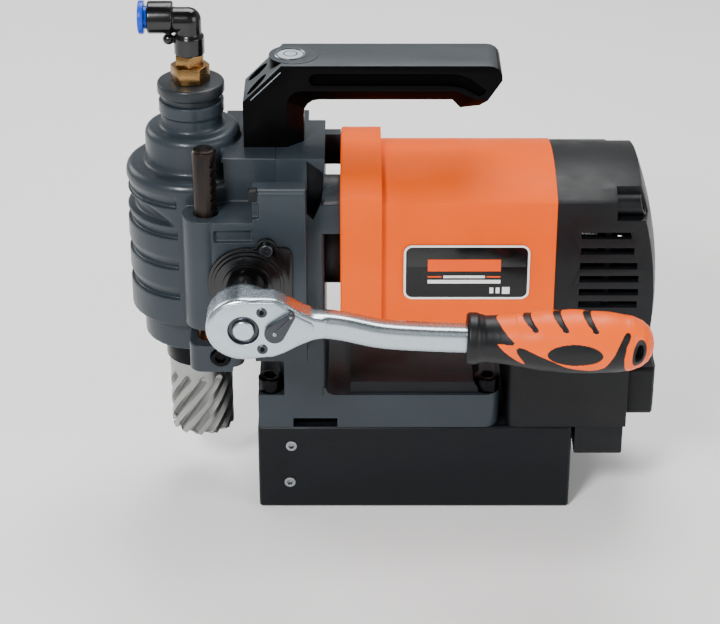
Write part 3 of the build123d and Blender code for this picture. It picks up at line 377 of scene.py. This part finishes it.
def tube(name, loops, closed=False):
    """Skins a row of (X, Y, Z) loops, with a cap on each end or with the last loop joined to the first."""
    bm = bmesh.new()
    rings = [[bm.verts.new((x * MM, y * MM, z * MM)) for x, y, z in loop] for loop in loops]
    following = rings[1:] + rings[:1] if closed else rings[1:]
    if not closed:
        bm.faces.new(rings[0])
        bm.faces.new(list(reversed(rings[-1])))
    count = len(loops[0])
    for a, b in zip(rings, following):
        for i in range(count):
            j = (i + 1) % count
            bm.faces.new((a[j], a[i], b[i], b[j]))
    bmesh.ops.recalc_face_normals(bm, faces=bm.faces)
    return from_bmesh(name, bm)


def prism_y(name, outline, y0, y1):
    """A closed outline in (X, Z) carried from y0 to y1."""
    return tube(name, [[(x, y, z) for x, z in outline] for y in (y0, y1)])


def lathe(name, profile, centre, axis="Z", steps=64):
    """Revolves (r, h) points about the Z or Y axis through centre. On the Y axis, h runs towards -Y."""
    bm = bmesh.new()
    rings = []
    for r, h in profile:
        if r == 0:
            rings.append([bm.verts.new((0, 0, h * MM))])
            continue
        ring = []
        for step in range(steps):
            a = 2 * math.pi * step / steps
            ring.append(bm.verts.new((r * MM * math.cos(a), r * MM * math.sin(a), h * MM)))
        rings.append(ring)
    for low, high in zip(rings, rings[1:]):
        for step in range(steps):
            nxt = (step + 1) % steps
            if len(low) == 1:
                bm.faces.new((low[0], high[nxt], high[step]))
            elif len(high) == 1:
                bm.faces.new((low[step], low[nxt], high[0]))
            else:
                bm.faces.new((low[step], low[nxt], high[nxt], high[step]))
    turn = Matrix.Rotation(math.radians(90), 4, "X") if axis == "Y" else Matrix()
    bmesh.ops.transform(bm, matrix=Matrix.Translation(Vector(centre) * MM) @ turn, verts=bm.verts)
    bmesh.ops.recalc_face_normals(bm, faces=bm.faces)
    return from_bmesh(name, bm)


def centre_of(node):
    """The middle of a node's box."""
    low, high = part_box(node)
    return (low + high) / 2 / MM


# ---------------------------------------------------------------- castings, covers and screws
# a pocket in the column beside the gearbox wall, and a small black block on that wall's top corner, painted
# shade standing in for a shadowed notch there, in (X, Z)
POCKET = [(-57.2, 203.5), (-48.7, 197.0), (-48.7, 188.0), (-53.8, 176.0), (-57.2, 179.5)]
NOTCH_SHADE = [(-86.4, 192.6), (-81.4, 192.6), (-81.4, 198.9), (-86.4, 198.9)]
POCKET_Y, NOTCH_SHADE_Y = (-47, -27), (-56.3, -51)
# the platform's front face, and the front faces of the column and of the block above it
PLATFORM_Y, PLATFORM_Z = -40.0, (71.6, 78.2)
COLUMN_TOP, COLUMN_FRONT, BLOCK_FRONT = 187.0, -42.5, -30.0
MARGIN = 0.2


def frame_body():
    """The frame with its deep pocket, whose inside is painted black as painted shade, and the dark front face
    of the platform on its foot.
    """
    piece = clean_copy("frame_casting")
    cut(piece, [prism_y("pocket", POCKET, *POCKET_Y)])
    bevelled(piece, 0.8, 3)
    x0, x1 = min(x for x, z in POCKET) - MARGIN, max(x for x, z in POCKET) + MARGIN
    z0, z1 = min(z for x, z in POCKET) - MARGIN, max(z for x, z in POCKET) + MARGIN
    for face in piece.data.polygons:
        x, y, z = face.center / MM
        front = COLUMN_FRONT if z < COLUMN_TOP else BLOCK_FRONT
        # faces inside the pocket are painted black: painted shade
        pocket_shade = x0 < x < x1 and z0 < z < z1 and front + MARGIN < y < POCKET_Y[1] + 0.5
        on_platform = abs(y - PLATFORM_Y) < 0.3 and PLATFORM_Z[0] < z < PLATFORM_Z[1]
        if pocket_shade or (on_platform and face.normal.y < -0.7):
            face.material_index = 1
    finish(piece, "frame_casting", GREY, BLACK)


cast("head_casting", 0.5, 3, GREY)
frame_body()
# a black block as painted shade where a shadowed notch would be
notch_shade = bevelled(prism_y("notch_shade", NOTCH_SHADE, *NOTCH_SHADE_Y), 0.8, 3)
on_body(notch_shade, "machine", BLACK)
cast("feed_yoke", 0.4, 4, GREY)
cast("elbow_body", 0.3, 3, GLOSS_BLACK)
# CAD solids with rounded edges: node, width of the bevel and material
for name, width, material in (
        ("magnet_block", 0.5, MAGNET), ("spindle_cap", 0.6, GREY_DARK), ("pinion_cover", 0.7, GLOSS_BLACK),
        ("gearbox_neck", 0.5, BLACK), ("motor_housing", 1.6, ORANGE), ("motor_rear_cap", 1.0, BLACK),
        ("control_box", 0.6, BLACK), ("switch_panel", 0.4, BLACK), ("cable_cover", 0.6, BLACK),
        ("cable_gland", 0.4, RUBBER), ("motor_lead_grommet", 0.5, RUBBER),
        ("frame_screws", 0.3, BLACK_OXIDE), ("magnet_side_screws", 0.15, BRIGHT),
        ("cover_screw", 0.25, DARK_STEEL), ("yoke_screw", 0.3, BLACK_OXIDE),
        ("motor_screws", 0.2, BLACK_OXIDE),
        ("coolant_adapter", 0.45, BRASS), ("fitting_stem", 0.35, BRASS), ("release_collet", 0.3, BLUE),
        ("rack_rod", 0.12, RACK_STEEL), ("quill", 0.4, BLACK_OXIDE), ("spindle", 0.3, BLACK_OXIDE),
        ("pilot_pin", 0.2, BRIGHT), ("feed_pinion", 0.2, GLOSS_BLACK), ("drive_anvil", 0.3, DARK_STEEL),
        ("release_button", 0.5, CHROME), ("wrench_lever", 0.5, DARK_STEEL), ("magnet_switch", 0.5, RED),
        ("start_button", 0.4, GREEN), ("stop_button", 0.4, RED)):
    edged(name, width, material)

# pieces that stay as CAD, mostly inside, with their own materials
for material, names in (
        (COPPER, ("magnet_coil", "stator_windings")), (IRON, ("stator", "armature_core")),
        (BRIGHT, ("gearbox_bearings", "quill_bearings", "armature_shaft", "bevel_shaft", "layshaft_gear",
                  "drive_sleeve")),
        (BLACK_OXIDE, ("arbor_screws", "handle_screws")), (BLACK, ("brush_holders", "cooling_fan")),
        (CARBON, ("carbon_brushes",)), (BRASS, ("commutator",)), (BOARD, ("circuit_board",))):
    for name in names:
        for slot in NODES[name].material_slots:
            slot.material = material


# ---------------------------------------------------------------- carry handle
# Outline of the handle in (X, Z): the shared top edge, then the lower edge at its middle and at its sides.
HANDLE_FOOT, HANDLE_HIGH = 204.8, 250.0
HANDLE_UPPER = [(-90, HANDLE_FOOT), (-90, 230), (-70, HANDLE_HIGH), (36, HANDLE_HIGH), (38.6, 249.6),
                (40.8, 248.4), (42.4, 246.6), (43.1, 244.4), (43.2, 242)]
HANDLE_INNER = [(32.2, 225), (22.1, 223.8), (18, 228.2), (-51, 228.2), (-54.1, 227.6), (-56.7, 225.9),
                (-58.4, 223.2), (-58.9, 220), (-58.9, HANDLE_FOOT)]
HANDLE_FACE = [(36, 231), (29.5, 231.6), (20, 236.1), (-60, 236.1), (-63.3, 235.3), (-65.8, 233.2),
               (-67.2, 230.3), (-67.6, 227), (-67.6, HANDLE_FOOT)]
HANDLE_CORE, HANDLE_EDGE = 7.5, 0.9
HANDLE_GROOVE = [(-56, 242), (-55.4, 244), (-54, 245.3), (-52, 245.6), (14, 245.6), (21, 245.2), (27, 243),
                 (35, 236.5), (33.5, 234), (31, 233.6), (24, 237.6), (18, 239), (12, 239.2), (-53, 239.2),
                 (-55, 240)]
GROOVE_DEEP, GROOVE_X, GROOVE_Z = 2.6, (-56.5, 36), (233, 246)
# a light grey bead along the slanted corner, a painted highlight of that edge, sunk into the side but for its
# crown
HIGHLIGHT_BEAD = [(-86.2, 231.3), (-85.8, 230.9), (-70.0, 246.3), (-70.4, 246.7)]
BEAD_SUNK, BEAD_CROWN = 0.5, 0.12
# the round pad and the well that the level sits in
PAD_X, PAD_R, PAD_FOOT, PAD_TOP, WELL_DEEP = -64.0, 12.8, 240, 250.25, 9
# the corner's top faces, which are grey: from the pad's side down to where the slant starts
SLANT_END, SLANT_FOOT = -69.5, 229.5
WINDOW_X, WINDOW_Y, WINDOW_Z, WINDOW_LEAN = -83.0, 8.4, 237.0, 14
WINDOW_LONG, WINDOW_WIDE, WINDOW_STEPS = 7.2, 4.3, 40


def side_prism(name, outline, half, inner, outer, side):
    """A prism through the handle's side face, from inner below that face to outer above it."""
    return prism_y(name, outline, *sorted((side * (half - inner), side * (half + outer))))


def slant_window(side):
    """An oval cutter square to the slanted corner of the handle, on one side of its middle rib."""
    lean = math.radians(-WINDOW_LEAN * side)
    loops = []
    for depth in (-5.0, 3.0):
        loop = []
        for step in range(WINDOW_STEPS):
            a = 2 * math.pi * step / WINDOW_STEPS
            along, across = WINDOW_LONG * math.cos(a), WINDOW_WIDE * math.sin(a)
            u = along * math.cos(lean) - across * math.sin(lean)
            v = along * math.sin(lean) + across * math.cos(lean)
            x, z = WINDOW_X + (u - depth) * math.sqrt(0.5), WINDOW_Z + (u + depth) * math.sqrt(0.5)
            loop.append((x, side * WINDOW_Y + v, z))
        loops.append(loop)
    return tube("window", loops)


def disc(name, r, low, high, x):
    return lathe(name, [(0, low), (r, low), (r, high), (0, high)], (x, 0, 0))


def handle():
    """The carry handle: a hollow-sided bar with a groove each side, two windows, a pad and a well."""
    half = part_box("carry_handle")[1].y / MM
    loops = []
    for y, lower in ((-half, HANDLE_FACE), (-HANDLE_CORE, HANDLE_INNER), (HANDLE_CORE, HANDLE_INNER),
                     (half, HANDLE_FACE)):
        loops.append([(x, y, z) for x, z in HANDLE_UPPER + lower])
    body = tube("carry_handle_body", loops)
    pad = disc("pad", PAD_R, PAD_FOOT, PAD_TOP, PAD_X)
    join = body.modifiers.new("pad", "BOOLEAN")
    join.operation = "UNION"
    join.solver = "EXACT"
    join.object = pad
    bpy.context.view_layer.update()
    applied(body)
    bpy.data.objects.remove(pad)
    cutters = []
    for side in (-1, 1):
        cutters.append(side_prism("groove", HANDLE_GROOVE, half, GROOVE_DEEP, 2, side))
        cutters.append(slant_window(side))
    low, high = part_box("level_bezel")
    x, r = (low.x + high.x) / 2 / MM, (high.x - low.x) / 2 / MM
    cutters.append(disc("well", r, HANDLE_HIGH - WELL_DEEP, HANDLE_HIGH + 3, x))
    bpy.context.view_layer.update()
    cut(body, cutters)
    bevelled(body, HANDLE_EDGE, 3, 25)
    for face in body.data.polygons:
        x, y, z = face.center / MM
        raised = z > HANDLE_HIGH - 1.2 or (x < SLANT_END and z > SLANT_FOOT)
        if raised and face.normal.z > 0.6 and face.normal.x < 0.5:
            face.material_index = 1
        # the groove's inside and the faces turned downward get painted shade
        groove_shade = (half - GROOVE_DEEP - MARGIN < abs(y) < half - 1.0
                     and GROOVE_Z[0] < z < GROOVE_Z[1] and GROOVE_X[0] < x < GROOVE_X[1])
        if groove_shade or face.normal.z < -0.25:
            face.material_index = 2
    # beads of painted highlight along both slanted edges
    for side, name in ((-1, "near"), (1, "far")):
        bead = side_prism("handle_highlight_bead_" + name, HIGHLIGHT_BEAD, half, BEAD_SUNK, BEAD_CROWN, side)
        on_body(bevelled(bead, 0.2), "machine", HIGHLIGHT_GREY)
    finish(body, "carry_handle", SATIN_BLACK, HANDLE_TOP, SHADE_BLACK)


handle()


# ring, its radius as a part of the bezel's, half its width, how far it lies below the top, and its material
LEVEL_MARKS = (("level_ring", 0.42, 0.3, 0.1, BLACK_OXIDE),
               ("level_ring_outer", 0.84, 0.16, 0.28, DARK_STEEL))
BEZEL_WIDE, LENS_GAP = 0.9, 0.02


def level():
    """Vial with a thin bezel, a low domed lens and its printed rings."""
    low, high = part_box("level_bezel")
    x, top, r = (low.x + high.x) / 2 / MM, high.z / MM, (high.x - low.x) / 2 / MM
    inner = r - BEZEL_WIDE
    rim = [(inner, top - 3), (inner, top - 0.25), (r - 0.65, top), (r - 0.3, top), (r, top - 0.3),
           (r, top - 3)]
    finish(smooth_by_angle(lathe("level_rim", rim + [rim[0]], (x, 0, 0))), "level_bezel", BRIGHT)
    lens_r = inner - LENS_GAP
    lens = [(0, top - 4), (lens_r, top - 4), (lens_r, top - 0.5)]
    lens += [(lens_r * part, top - drop) for part, drop in ((0.9, 0.3), (0.6, 0.12), (0.3, 0.04), (0, 0.02))]
    finish(smooth_by_angle(lathe("level_lens", lens, (x, 0, 0))), "level_vial", GLASS)
    for name, part, half, drop, material in LEVEL_MARKS:
        ring_r, z = r * part, top - drop
        ring = [(ring_r - half, z), (ring_r - half / 2, z + 0.1), (ring_r + half / 2, z + 0.1),
                (ring_r + half, z), (ring_r, z - 0.2), (ring_r - half, z)]
        on_body(smooth_by_angle(lathe(name, ring, (x, 0, 0))), "machine", material)


level()


# ---------------------------------------------------------------- name plate
def rounded_box(x0, x1, z0, z1, r):
    """A rectangle's outline in (X, Z) with round corners."""
    return (arc(x1 - r, z1 - r, r, 0, 90) + arc(x0 + r, z1 - r, r, 90, 180)
            + arc(x0 + r, z0 + r, r, 180, 270) + arc(x1 - r, z0 + r, r, 270, 360))


def plate_band(name, outer, inner, y0, y1):
    """A flat closed band between two outlines with the same number of points."""
    loops = ((outer, y0), (outer, y1), (inner, y1), (inner, y0))
    return tube(name, [[(x, y, z) for x, z in outline] for outline, y in loops], closed=True)


# left, right, bottom and top as parts of the plate's size
LABEL_MARKS = [(0.03, 0.97, 0.60, 0.95, GLOSS_BLACK), (0.19, 0.77, 0.52, 0.74, LABEL_ORANGE),
               (0.19, 0.30, 0.405, 0.43, LABEL_ORANGE), (0.315, 0.645, 0.395, 0.44, WHITE),
               (0.66, 0.77, 0.405, 0.43, LABEL_ORANGE), (0.19, 0.77, 0.295, 0.36, WHITE),
               (0.685, 0.715, 0.11, 0.215, WHITE), (0.735, 0.765, 0.11, 0.215, WHITE),
               (0.785, 0.845, 0.10, 0.225, WHITE)]
LABEL_R, LABEL_BORDER = 4.5, 1.1
# how far each layer of the plate lies behind its front
BORDER_IN, MARK_IN, SHINE_IN, FILM_IN, LAYER_BACK = 0.02, 0.08, 0.17, 0.25, 0.5
FILM_SUNK = 0.4


def name_plate():
    """A generic plate: a dark film with a white border, plain bars and no words."""
    low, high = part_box("name_plate")
    x0, x1, z0, z1 = low.x / MM, high.x / MM, low.z / MM, high.z / MM
    front, back = low.y / MM, high.y / MM
    outer = rounded_box(x0, x1, z0, z1, LABEL_R)
    film = prism_y("name_plate_film", outer, front + FILM_IN, back + FILM_SUNK)
    finish(bevelled(film, 0.2), "name_plate", LABEL)
    inner = rounded_box(x0 + LABEL_BORDER, x1 - LABEL_BORDER, z0 + LABEL_BORDER, z1 - LABEL_BORDER,
                        LABEL_R - LABEL_BORDER)
    border = plate_band("name_plate_border", outer, inner, front + BORDER_IN, front + LAYER_BACK)
    marks = [(border, WHITE)]
    wide, tall = x1 - x0, z1 - z0
    for index, (left, right, bottom, top, material) in enumerate(LABEL_MARKS):
        a, b, c, d = x0 + left * wide, x0 + right * wide, z0 + bottom * tall, z0 + top * tall
        y = front + (SHINE_IN if material is GLOSS_BLACK else MARK_IN)
        mark = prism_y(f"name_plate_mark_{index}", [(a, c), (b, c), (b, d), (a, d)], y, front + LAYER_BACK)
        marks.append((mark, material))
    for piece, material in marks:
        on_body(smooth_by_angle(piece), "machine", material)


name_plate()


# ---------------------------------------------------------------- annular cutter
TEETH, TWIST = 12, 88.0  # the helix turns this many degrees over the flutes
FLUTE_TOP, SHOULDER = 65.0, 75.1
CORE_R, PIN_R, SHANK_R, CORE_ROOF = 12.4, 3.3, 9.5, 61.0
FLUTE_DEEP, FLUTE_PART, TOOTH_RISE, GULLET_RISE = 2.6, 0.62, 2.4, 2.05
COLUMNS, OUTER_ROWS, CORE_ROWS = 600, 72, 16


def ease(t):
    """A smooth step from 0 to 1."""
    t = min(1.0, max(0.0, t))
    return t * t * (3 - 2 * t)


def flute_depth(phase, z):
    """How far the flute cuts in, from a sharp leading edge to a long shallow ramp."""
    ramp = (1 - min(1.0, max(0.0, (phase - 0.1) / 0.52)) ** 1.3)
    round_end = FLUTE_TOP + 3.0 * math.sin(math.pi * min(1.0, phase / FLUTE_PART))
    return FLUTE_DEEP * ease(phase / 0.04) * ramp * ease((round_end - z) / 2.0)


def tooth_rise(phase):
    """The tooth stands lowest at the leading edge, rises behind it and falls again to the next one."""
    if phase < FLUTE_PART:
        return TOOTH_RISE * (1 - (1 - phase) ** 2)
    return GULLET_RISE * (1 - (phase - FLUTE_PART) / (1 - FLUTE_PART))


def cutter():
    """An annular cutter with helical flutes, ground teeth, a hollow core and a plain shank."""
    low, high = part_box("annular_cutter")
    x, y = (low.x + high.x) / 2 / MM, (low.y + high.y) / 2 / MM
    radius, bottom, top = (high.x - low.x) / 2 / MM, low.z / MM, high.z / MM

    def loop_at(z, radii, rises=None):
        """A loop whose columns follow the helix, so that the flutes run along them."""
        turned = TWIST * min(1.0, (z - bottom) / (FLUTE_TOP - bottom))
        loop = []
        for column, r in enumerate(radii):
            a = math.radians(360 * column / COLUMNS + turned)
            loop.append((x + r * math.cos(a), y + r * math.sin(a), z + (rises[column] if rises else 0)))
        return loop

    phases = [(column * TEETH / COLUMNS) % 1.0 for column in range(COLUMNS)]
    loops = [loop_at(CORE_ROOF, [PIN_R] * COLUMNS)]
    core_foot = bottom + 0.4
    for row in range(CORE_ROWS + 1):
        z = core_foot + (CORE_ROOF - core_foot) * (1 - row / CORE_ROWS)
        loops.append(loop_at(z, [CORE_R] * COLUMNS))
    for row in range(OUTER_ROWS + 1):
        z = bottom + (SHOULDER - bottom) * row / OUTER_ROWS
        rises = None if row else [tooth_rise(phase) for phase in phases]
        loops.append(loop_at(z, [radius - flute_depth(phase, z) for phase in phases], rises))
    for z, r in ((SHOULDER, SHANK_R), (top, SHANK_R), (top, PIN_R)):
        loops.append(loop_at(z, [r] * COLUMNS))
    piece = tube("annular_cutter_fluted", loops, closed=True)
    finish(smooth_by_angle(piece, 26), "annular_cutter", CUTTER_STEEL)


cutter()


# ---------------------------------------------------------------- ratchet wrench
# the face plate's outline about the drive's axis, in (X, Z)
WRENCH_PLATE = [(-16.5, 0.6), (-15.7, 5.6), (-13.1, 10.2), (-9.1, 13.5), (-4.7, 15.1), (0.9, 15.5),
                (15.0, 15.3), (18.3, 13.8), (21.6, 11.2), (25.8, 8.1), (30.0, 5.6), (33.9, 3.5),
                (34.9, 1.6), (34.3, -0.7), (32.2, -3.2), (27.4, -7.4), (22.2, -10.9), (16.4, -13.5),
                (10.7, -14.7), (5.0, -14.7), (-0.7, -13.6), (-6.4, -11.4), (-11.5, -7.6), (-15.1, -3.8)]
PLATE_BORE_R, PLATE_PROUD, PLATE_SUNK, SOCKET_R = 7.9, 0.05, 1.6, 1.2
LEVER_R, LEVER_TIP_R = 5.2, 2.2
# half widths of the lever's ridge at its pivot and at its tip
RIDGE_FOOT, RIDGE_TIP = 0.9, 0.35


def face_plate(front):
    """The satin plate on the wrench's head, just proud of its front."""
    head = centre_of("feed_pinion")
    cx, cz = head.x, head.z
    outline = [(cx + dx, cz + dz) for dx, dz in WRENCH_PLATE]
    plate = prism_y("wrench_face", outline, front - PLATE_PROUD, front + PLATE_SUNK)
    bore = lathe("bore", [(0, -4), (PLATE_BORE_R, -4), (PLATE_BORE_R, 4), (0, 4)], (cx, front, cz), "Y")
    bpy.context.view_layer.update()
    cut(plate, [bore])
    on_body(bevelled(plate, 0.35, 3), "wrench", CHROME_FACE)


def plate_screws(front):
    """Two low screws, each with a black hexagon on its socket's floor as painted shade."""
    low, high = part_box("wrench_screws")
    r, x = (high.x - low.x) / 2 / MM, (low.x + high.x) / 2 / MM
    profile = [(0, 0.1), (SOCKET_R, 0.1), (1.3, 0.5), (1.55, 0.65), (2.2, 0.65), (r - 0.1, 0.3), (r, -0.9),
               (0, -0.9)]
    floor_r = SOCKET_R - 0.02
    floor = [(0, 0), (floor_r, 0), (floor_r, 0.16), (0, 0.16)]
    heights = (("lower", low.z / MM + r), ("upper", high.z / MM - r))
    for name, z in heights:
        screw = smooth_by_angle(lathe("wrench_screw_" + name, profile, (x, front, z), "Y"))
        if name == "upper":
            finish(screw, "wrench_screws", DARK_STEEL)
        else:
            on_body(screw, "wrench", DARK_STEEL)
    # black hexagons on the socket floors: painted shade
    for name, z in heights:
        socket = lathe("wrench_socket_shade_" + name, floor, (x, front, z), "Y", 6)
        on_body(socket, "wrench", BLACK_OXIDE)


def lever_details():
    """The direction lever's pivot, tip and the ridge between them."""
    low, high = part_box("wrench_lever")
    y = low.y / MM
    foot = (low.x / MM + LEVER_R, low.z / MM + LEVER_R)
    tip = (high.x / MM - LEVER_TIP_R, high.z / MM - LEVER_TIP_R)
    body, slot = BODY_OF["wrench_lever"], SLOT_OF["wrench_lever"]
    for name, (px, pz), rise in (("lever_pivot", foot, 1.3), ("lever_tip", tip, 0.9)):
        dome = [(0, rise * 0.55), (rise * 0.5, rise * 0.47), (rise * 0.87, rise * 0.2), (rise, -0.2),
                (0, -0.2)]
        on_body(smooth_by_angle(lathe(name, dome, (px, y, pz), "Y", 32), 60), body, BRIGHT)
    run = Vector((tip[0] - foot[0], tip[1] - foot[1])).normalized()
    ridge = []
    for (px, pz), half in ((foot, RIDGE_FOOT), (tip, RIDGE_TIP), (tip, -RIDGE_TIP), (foot, -RIDGE_FOOT)):
        ridge.append((px - run.y * half, pz + run.x * half))
    on_body(bevelled(prism_y("lever_ridge", ridge, y - 0.35, y + 0.4), 0.2), body, DARK_STEEL)


def wrench():
    """Face plate, socketed screws and the ridge of the direction lever, over a smoothed body."""
    cast("ratchet_wrench", 0.5, 50, CHROME, 1)
    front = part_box("ratchet_wrench")[0].y / MM
    face_plate(front)
    plate_screws(front)
    lever_details()


wrench()

# ---------------------------------------------------------------- two-colour grip
# The pattern is drawn in (s, angle): s runs along the grip from the collar in millimetres, and angle
# is measured from straight ahead towards the top. The grip's far side mirrors the near one.
GRIP_BLACK = [(-2, 95), (14.0, 95), (14.6, 78), (17.1, 52), (20.1, 33), (23.0, 20), (22.2, 15), (20.1, 14.5),
              (17.1, 16.5), (14.5, 15.4), (16.6, 4), (19.4, -7), (24.0, -22), (27.6, -32), (28.9, -32),
              (28.1, -25), (24.6, -4), (24.0, 6), (25.4, 11), (28.5, 8), (32.5, 1), (38.5, -8.5), (44, -18),
              (49, -27), (55, -34), (61, -37.5), (65.4, -35), (68.6, -27), (70.8, -12), (72.8, 3), (75.0, 24),
              (77.2, 42), (78.6, 49.5), (80.0, 48), (80.6, 42), (80.0, 32), (78.6, 20), (77.8, -6),
              (78.4, -28), (79.8, -48), (81.6, -95), (-2, -95)]
GRIP_STRIPE = [(31.5, 50), (31.9, 45), (33.3, 42.5), (34.7, 44), (34.6, 49), (32.9, 60), (31.6, 74),
               (31.0, 96), (27.0, 96), (27.8, 76), (29.4, 61)]
STRIPE_STEP, STRIPES = 14.9, 3
# ovals of the pattern: (s, angle) of the middle, then the half axes
PALM_OVAL = (53.3, -0.5, 13.8, 22.5)
RING_S, RING_ANGLE, RING_LEAN, RING_OUTER, RING_HOLE = 85.4, 3, 0.02, (3.6, 34), (2.0, 21)
SUNK, HOLE_DEEP, WAVE, WAVE_FROM = 0.45, 4.0, 0.35, 35
# the collar's end, as in the CAD, and the grip's slope in degrees
GRIP_START, GRIP_TILT = (23.5, -100.0, 138.6), 2.0
ALONG, AROUND = 420, 300
# (s, radius)
GRIP_PROFILE = [(0, 12.2), (1.2, 13.0), (4.6, 13.1), (6.6, 12.4), (9.3, 11.7), (12.7, 11.9), (16.6, 12.2),
                (25.5, 13.4), (37.3, 15.1), (51, 16.0), (61, 15.8), (74.5, 15.0), (82.4, 13.8), (87.3, 11.9),
                (90.7, 9.3), (92.8, 6.2), (93.7, 3.0)]


def inside(points, s, a):
    """Whether (s, a) lies within a closed outline."""
    hit = False
    for (s0, a0), (s1, a1) in zip(points, points[1:] + points[:1]):
        if (a0 > a) != (a1 > a) and s < s0 + (a - a0) * (s1 - s0) / (a1 - a0):
            hit = not hit
    return hit


def in_oval(ds, da, half_s, half_a):
    return (ds / half_s) ** 2 + (da / half_a) ** 2 < 1


def grip_dent(s, a):
    """How deep the black pattern is sunk at a point, or None on the orange."""
    if inside(GRIP_BLACK, s, a):
        return 0.0
    for index in range(STRIPES):
        if inside(GRIP_STRIPE, s - STRIPE_STEP * index, a):
            return SUNK
    middle_s, middle_a, half_s, half_a = PALM_OVAL
    if in_oval(s - middle_s, a - middle_a, half_s, half_a):
        return SUNK
    ds, da = s - RING_S - RING_LEAN * (a - RING_ANGLE), a - RING_ANGLE
    if in_oval(ds, da, *RING_OUTER):
        return HOLE_DEEP if in_oval(ds, da, *RING_HOLE) else 0.0
    return None


def grip_radius(s):
    """The profile's radius at s, eased a little between its points."""
    for (s0, r0), (s1, r1) in zip(GRIP_PROFILE, GRIP_PROFILE[1:]):
        if s <= s1:
            t = (s - s0) / (s1 - s0)
            return r0 + (r1 - r0) * (ease(t) * 0.35 + t * 0.65)
    return GRIP_PROFILE[-1][1]


def grip():
    """The grip with its black pattern sunk into the orange, and finger waves along its top."""
    length = GRIP_PROFILE[-1][0]
    start = Vector(GRIP_START)
    tilt = Matrix.Rotation(math.radians(GRIP_TILT), 4, "Y")
    bm = bmesh.new()
    grid, black = [], []
    for i in range(ALONG + 1):
        s = length * (1 - (1 - i / ALONG) ** 1.25)
        ring, row = [], []
        for j in range(AROUND):
            angle = 360 * j / AROUND
            # the far side mirrors the near one
            folded = angle if angle <= 90 else (180 - angle if angle <= 270 else angle - 360)
            dent = grip_dent(s, folded)
            r = grip_radius(s) - (dent or 0.0)
            if folded > WAVE_FROM and 24 < s < 80:
                fade = (folded - WAVE_FROM) / (90 - WAVE_FROM)
                r += WAVE * math.cos((s - 40) / STRIPE_STEP * 2 * math.pi) * fade
            a = math.radians(angle)
            p = Vector((s, -r * math.cos(a), r * math.sin(a)))
            ring.append(bm.verts.new((tilt @ p + start) * MM))
            row.append(dent is not None)
        grid.append(ring)
        black.append(row)
    for i in range(ALONG):
        for j in range(AROUND):
            k = (j + 1) % AROUND
            face = bm.faces.new((grid[i][j], grid[i][k], grid[i + 1][k], grid[i + 1][j]))
            face.material_index = 1 if black[i][j] else 0
            face.smooth = True
    for ring, index in ((grid[0], 1), (grid[-1], 0)):
        face = bm.faces.new(ring)
        face.material_index = index
        face.smooth = True
    bmesh.ops.recalc_face_normals(bm, faces=bm.faces)
    piece = from_bmesh("grip_moulding", bm)
    relax = piece.modifiers.new("relax", "SMOOTH")
    relax.iterations = 2
    relax.factor = 0.4
    applied(piece)
    finish(piece, "handle_grip", GRIP_ORANGE, RUBBER, also=("grip_collar",))


grip()


# ---------------------------------------------------------------- floor, light and camera
# metres and watts from here on: each lamp's place, size and power
LAMPS = (("key", (-0.5, -1.0, 1.0), 0.3, 20.0), ("fill", (1.1, -0.7, 0.6), 0.8, 7.0),
         ("top", (0.1, 0.55, 1.3), 0.8, 18.0), ("rim", (-1.0, 0.7, 0.7), 0.6, 6.0))
LAMP_AIM = (-0.01, 0, 0.12)
WORLD_LIGHT, OVERHEAD = 0.52, 0.22
FLOOR_SIZE, FLOOR_DROP = 4.0, 0.0002
CAMERA_PLACE, CAMERA_DOWN, CAMERA_LENS = (-0.0297, -1.0912, 0.6916), 28.5, 113.5


def ground():
    """A pale floor under the machine."""
    g = Graph("pale_floor")
    tone = g.mix(g.span(g.noise(3, 3), 0, 1), linear((246, 246, 245)), linear((252, 252, 251)))
    g.link(tone, g.shader.inputs["Base Color"])
    g.set(Roughness=0.7)
    bm = bmesh.new()
    bmesh.ops.create_grid(bm, x_segments=8, y_segments=8, size=FLOOR_SIZE)
    plane = from_bmesh("floor", bm)
    plane.location.z = -FLOOR_DROP
    paint(plane, g.mat)


def sky():
    """Even light from the sides, pale at the horizon and dim overhead."""
    world = bpy.data.worlds.new("studio")
    world.use_nodes = True
    tree = world.node_tree
    back = tree.nodes["Background"]
    back.inputs["Strength"].default_value = WORLD_LIGHT
    place = tree.nodes.new("ShaderNodeTexCoord")
    split = tree.nodes.new("ShaderNodeSeparateXYZ")
    ramp = tree.nodes.new("ShaderNodeMapRange")
    ramp.inputs["From Min"].default_value = 0.35
    ramp.inputs["From Max"].default_value = 0.85
    ramp.inputs["To Min"].default_value = 1.0
    ramp.inputs["To Max"].default_value = OVERHEAD
    tree.links.new(place.outputs["Generated"], split.inputs["Vector"])
    tree.links.new(split.outputs["Z"], ramp.inputs["Value"])
    tree.links.new(ramp.outputs["Result"], back.inputs["Color"])
    bpy.context.scene.world = world


def lamps():
    """Soft square lamps that all face the machine."""
    for name, spot, size, power in LAMPS:
        data = bpy.data.lights.new(name, "AREA")
        data.size = size
        data.energy = power
        lamp = bpy.data.objects.new(name, data)
        lamp.location = spot
        aim = Vector(LAMP_AIM) - lamp.location
        lamp.rotation_euler = aim.to_track_quat("-Z", "Y").to_euler()
        bpy.context.scene.collection.objects.link(lamp)


def camera():
    """The photograph's view: level, from the front and above."""
    data = bpy.data.cameras.new("view")
    data.lens = CAMERA_LENS
    data.sensor_width = 36.0
    view = bpy.data.objects.new("view", data)
    view.location = CAMERA_PLACE
    view.rotation_euler = (math.radians(90 - CAMERA_DOWN), 0, 0)
    bpy.context.scene.collection.objects.link(view)
    bpy.context.scene.camera = view


ground()
sky()
lamps()
camera()
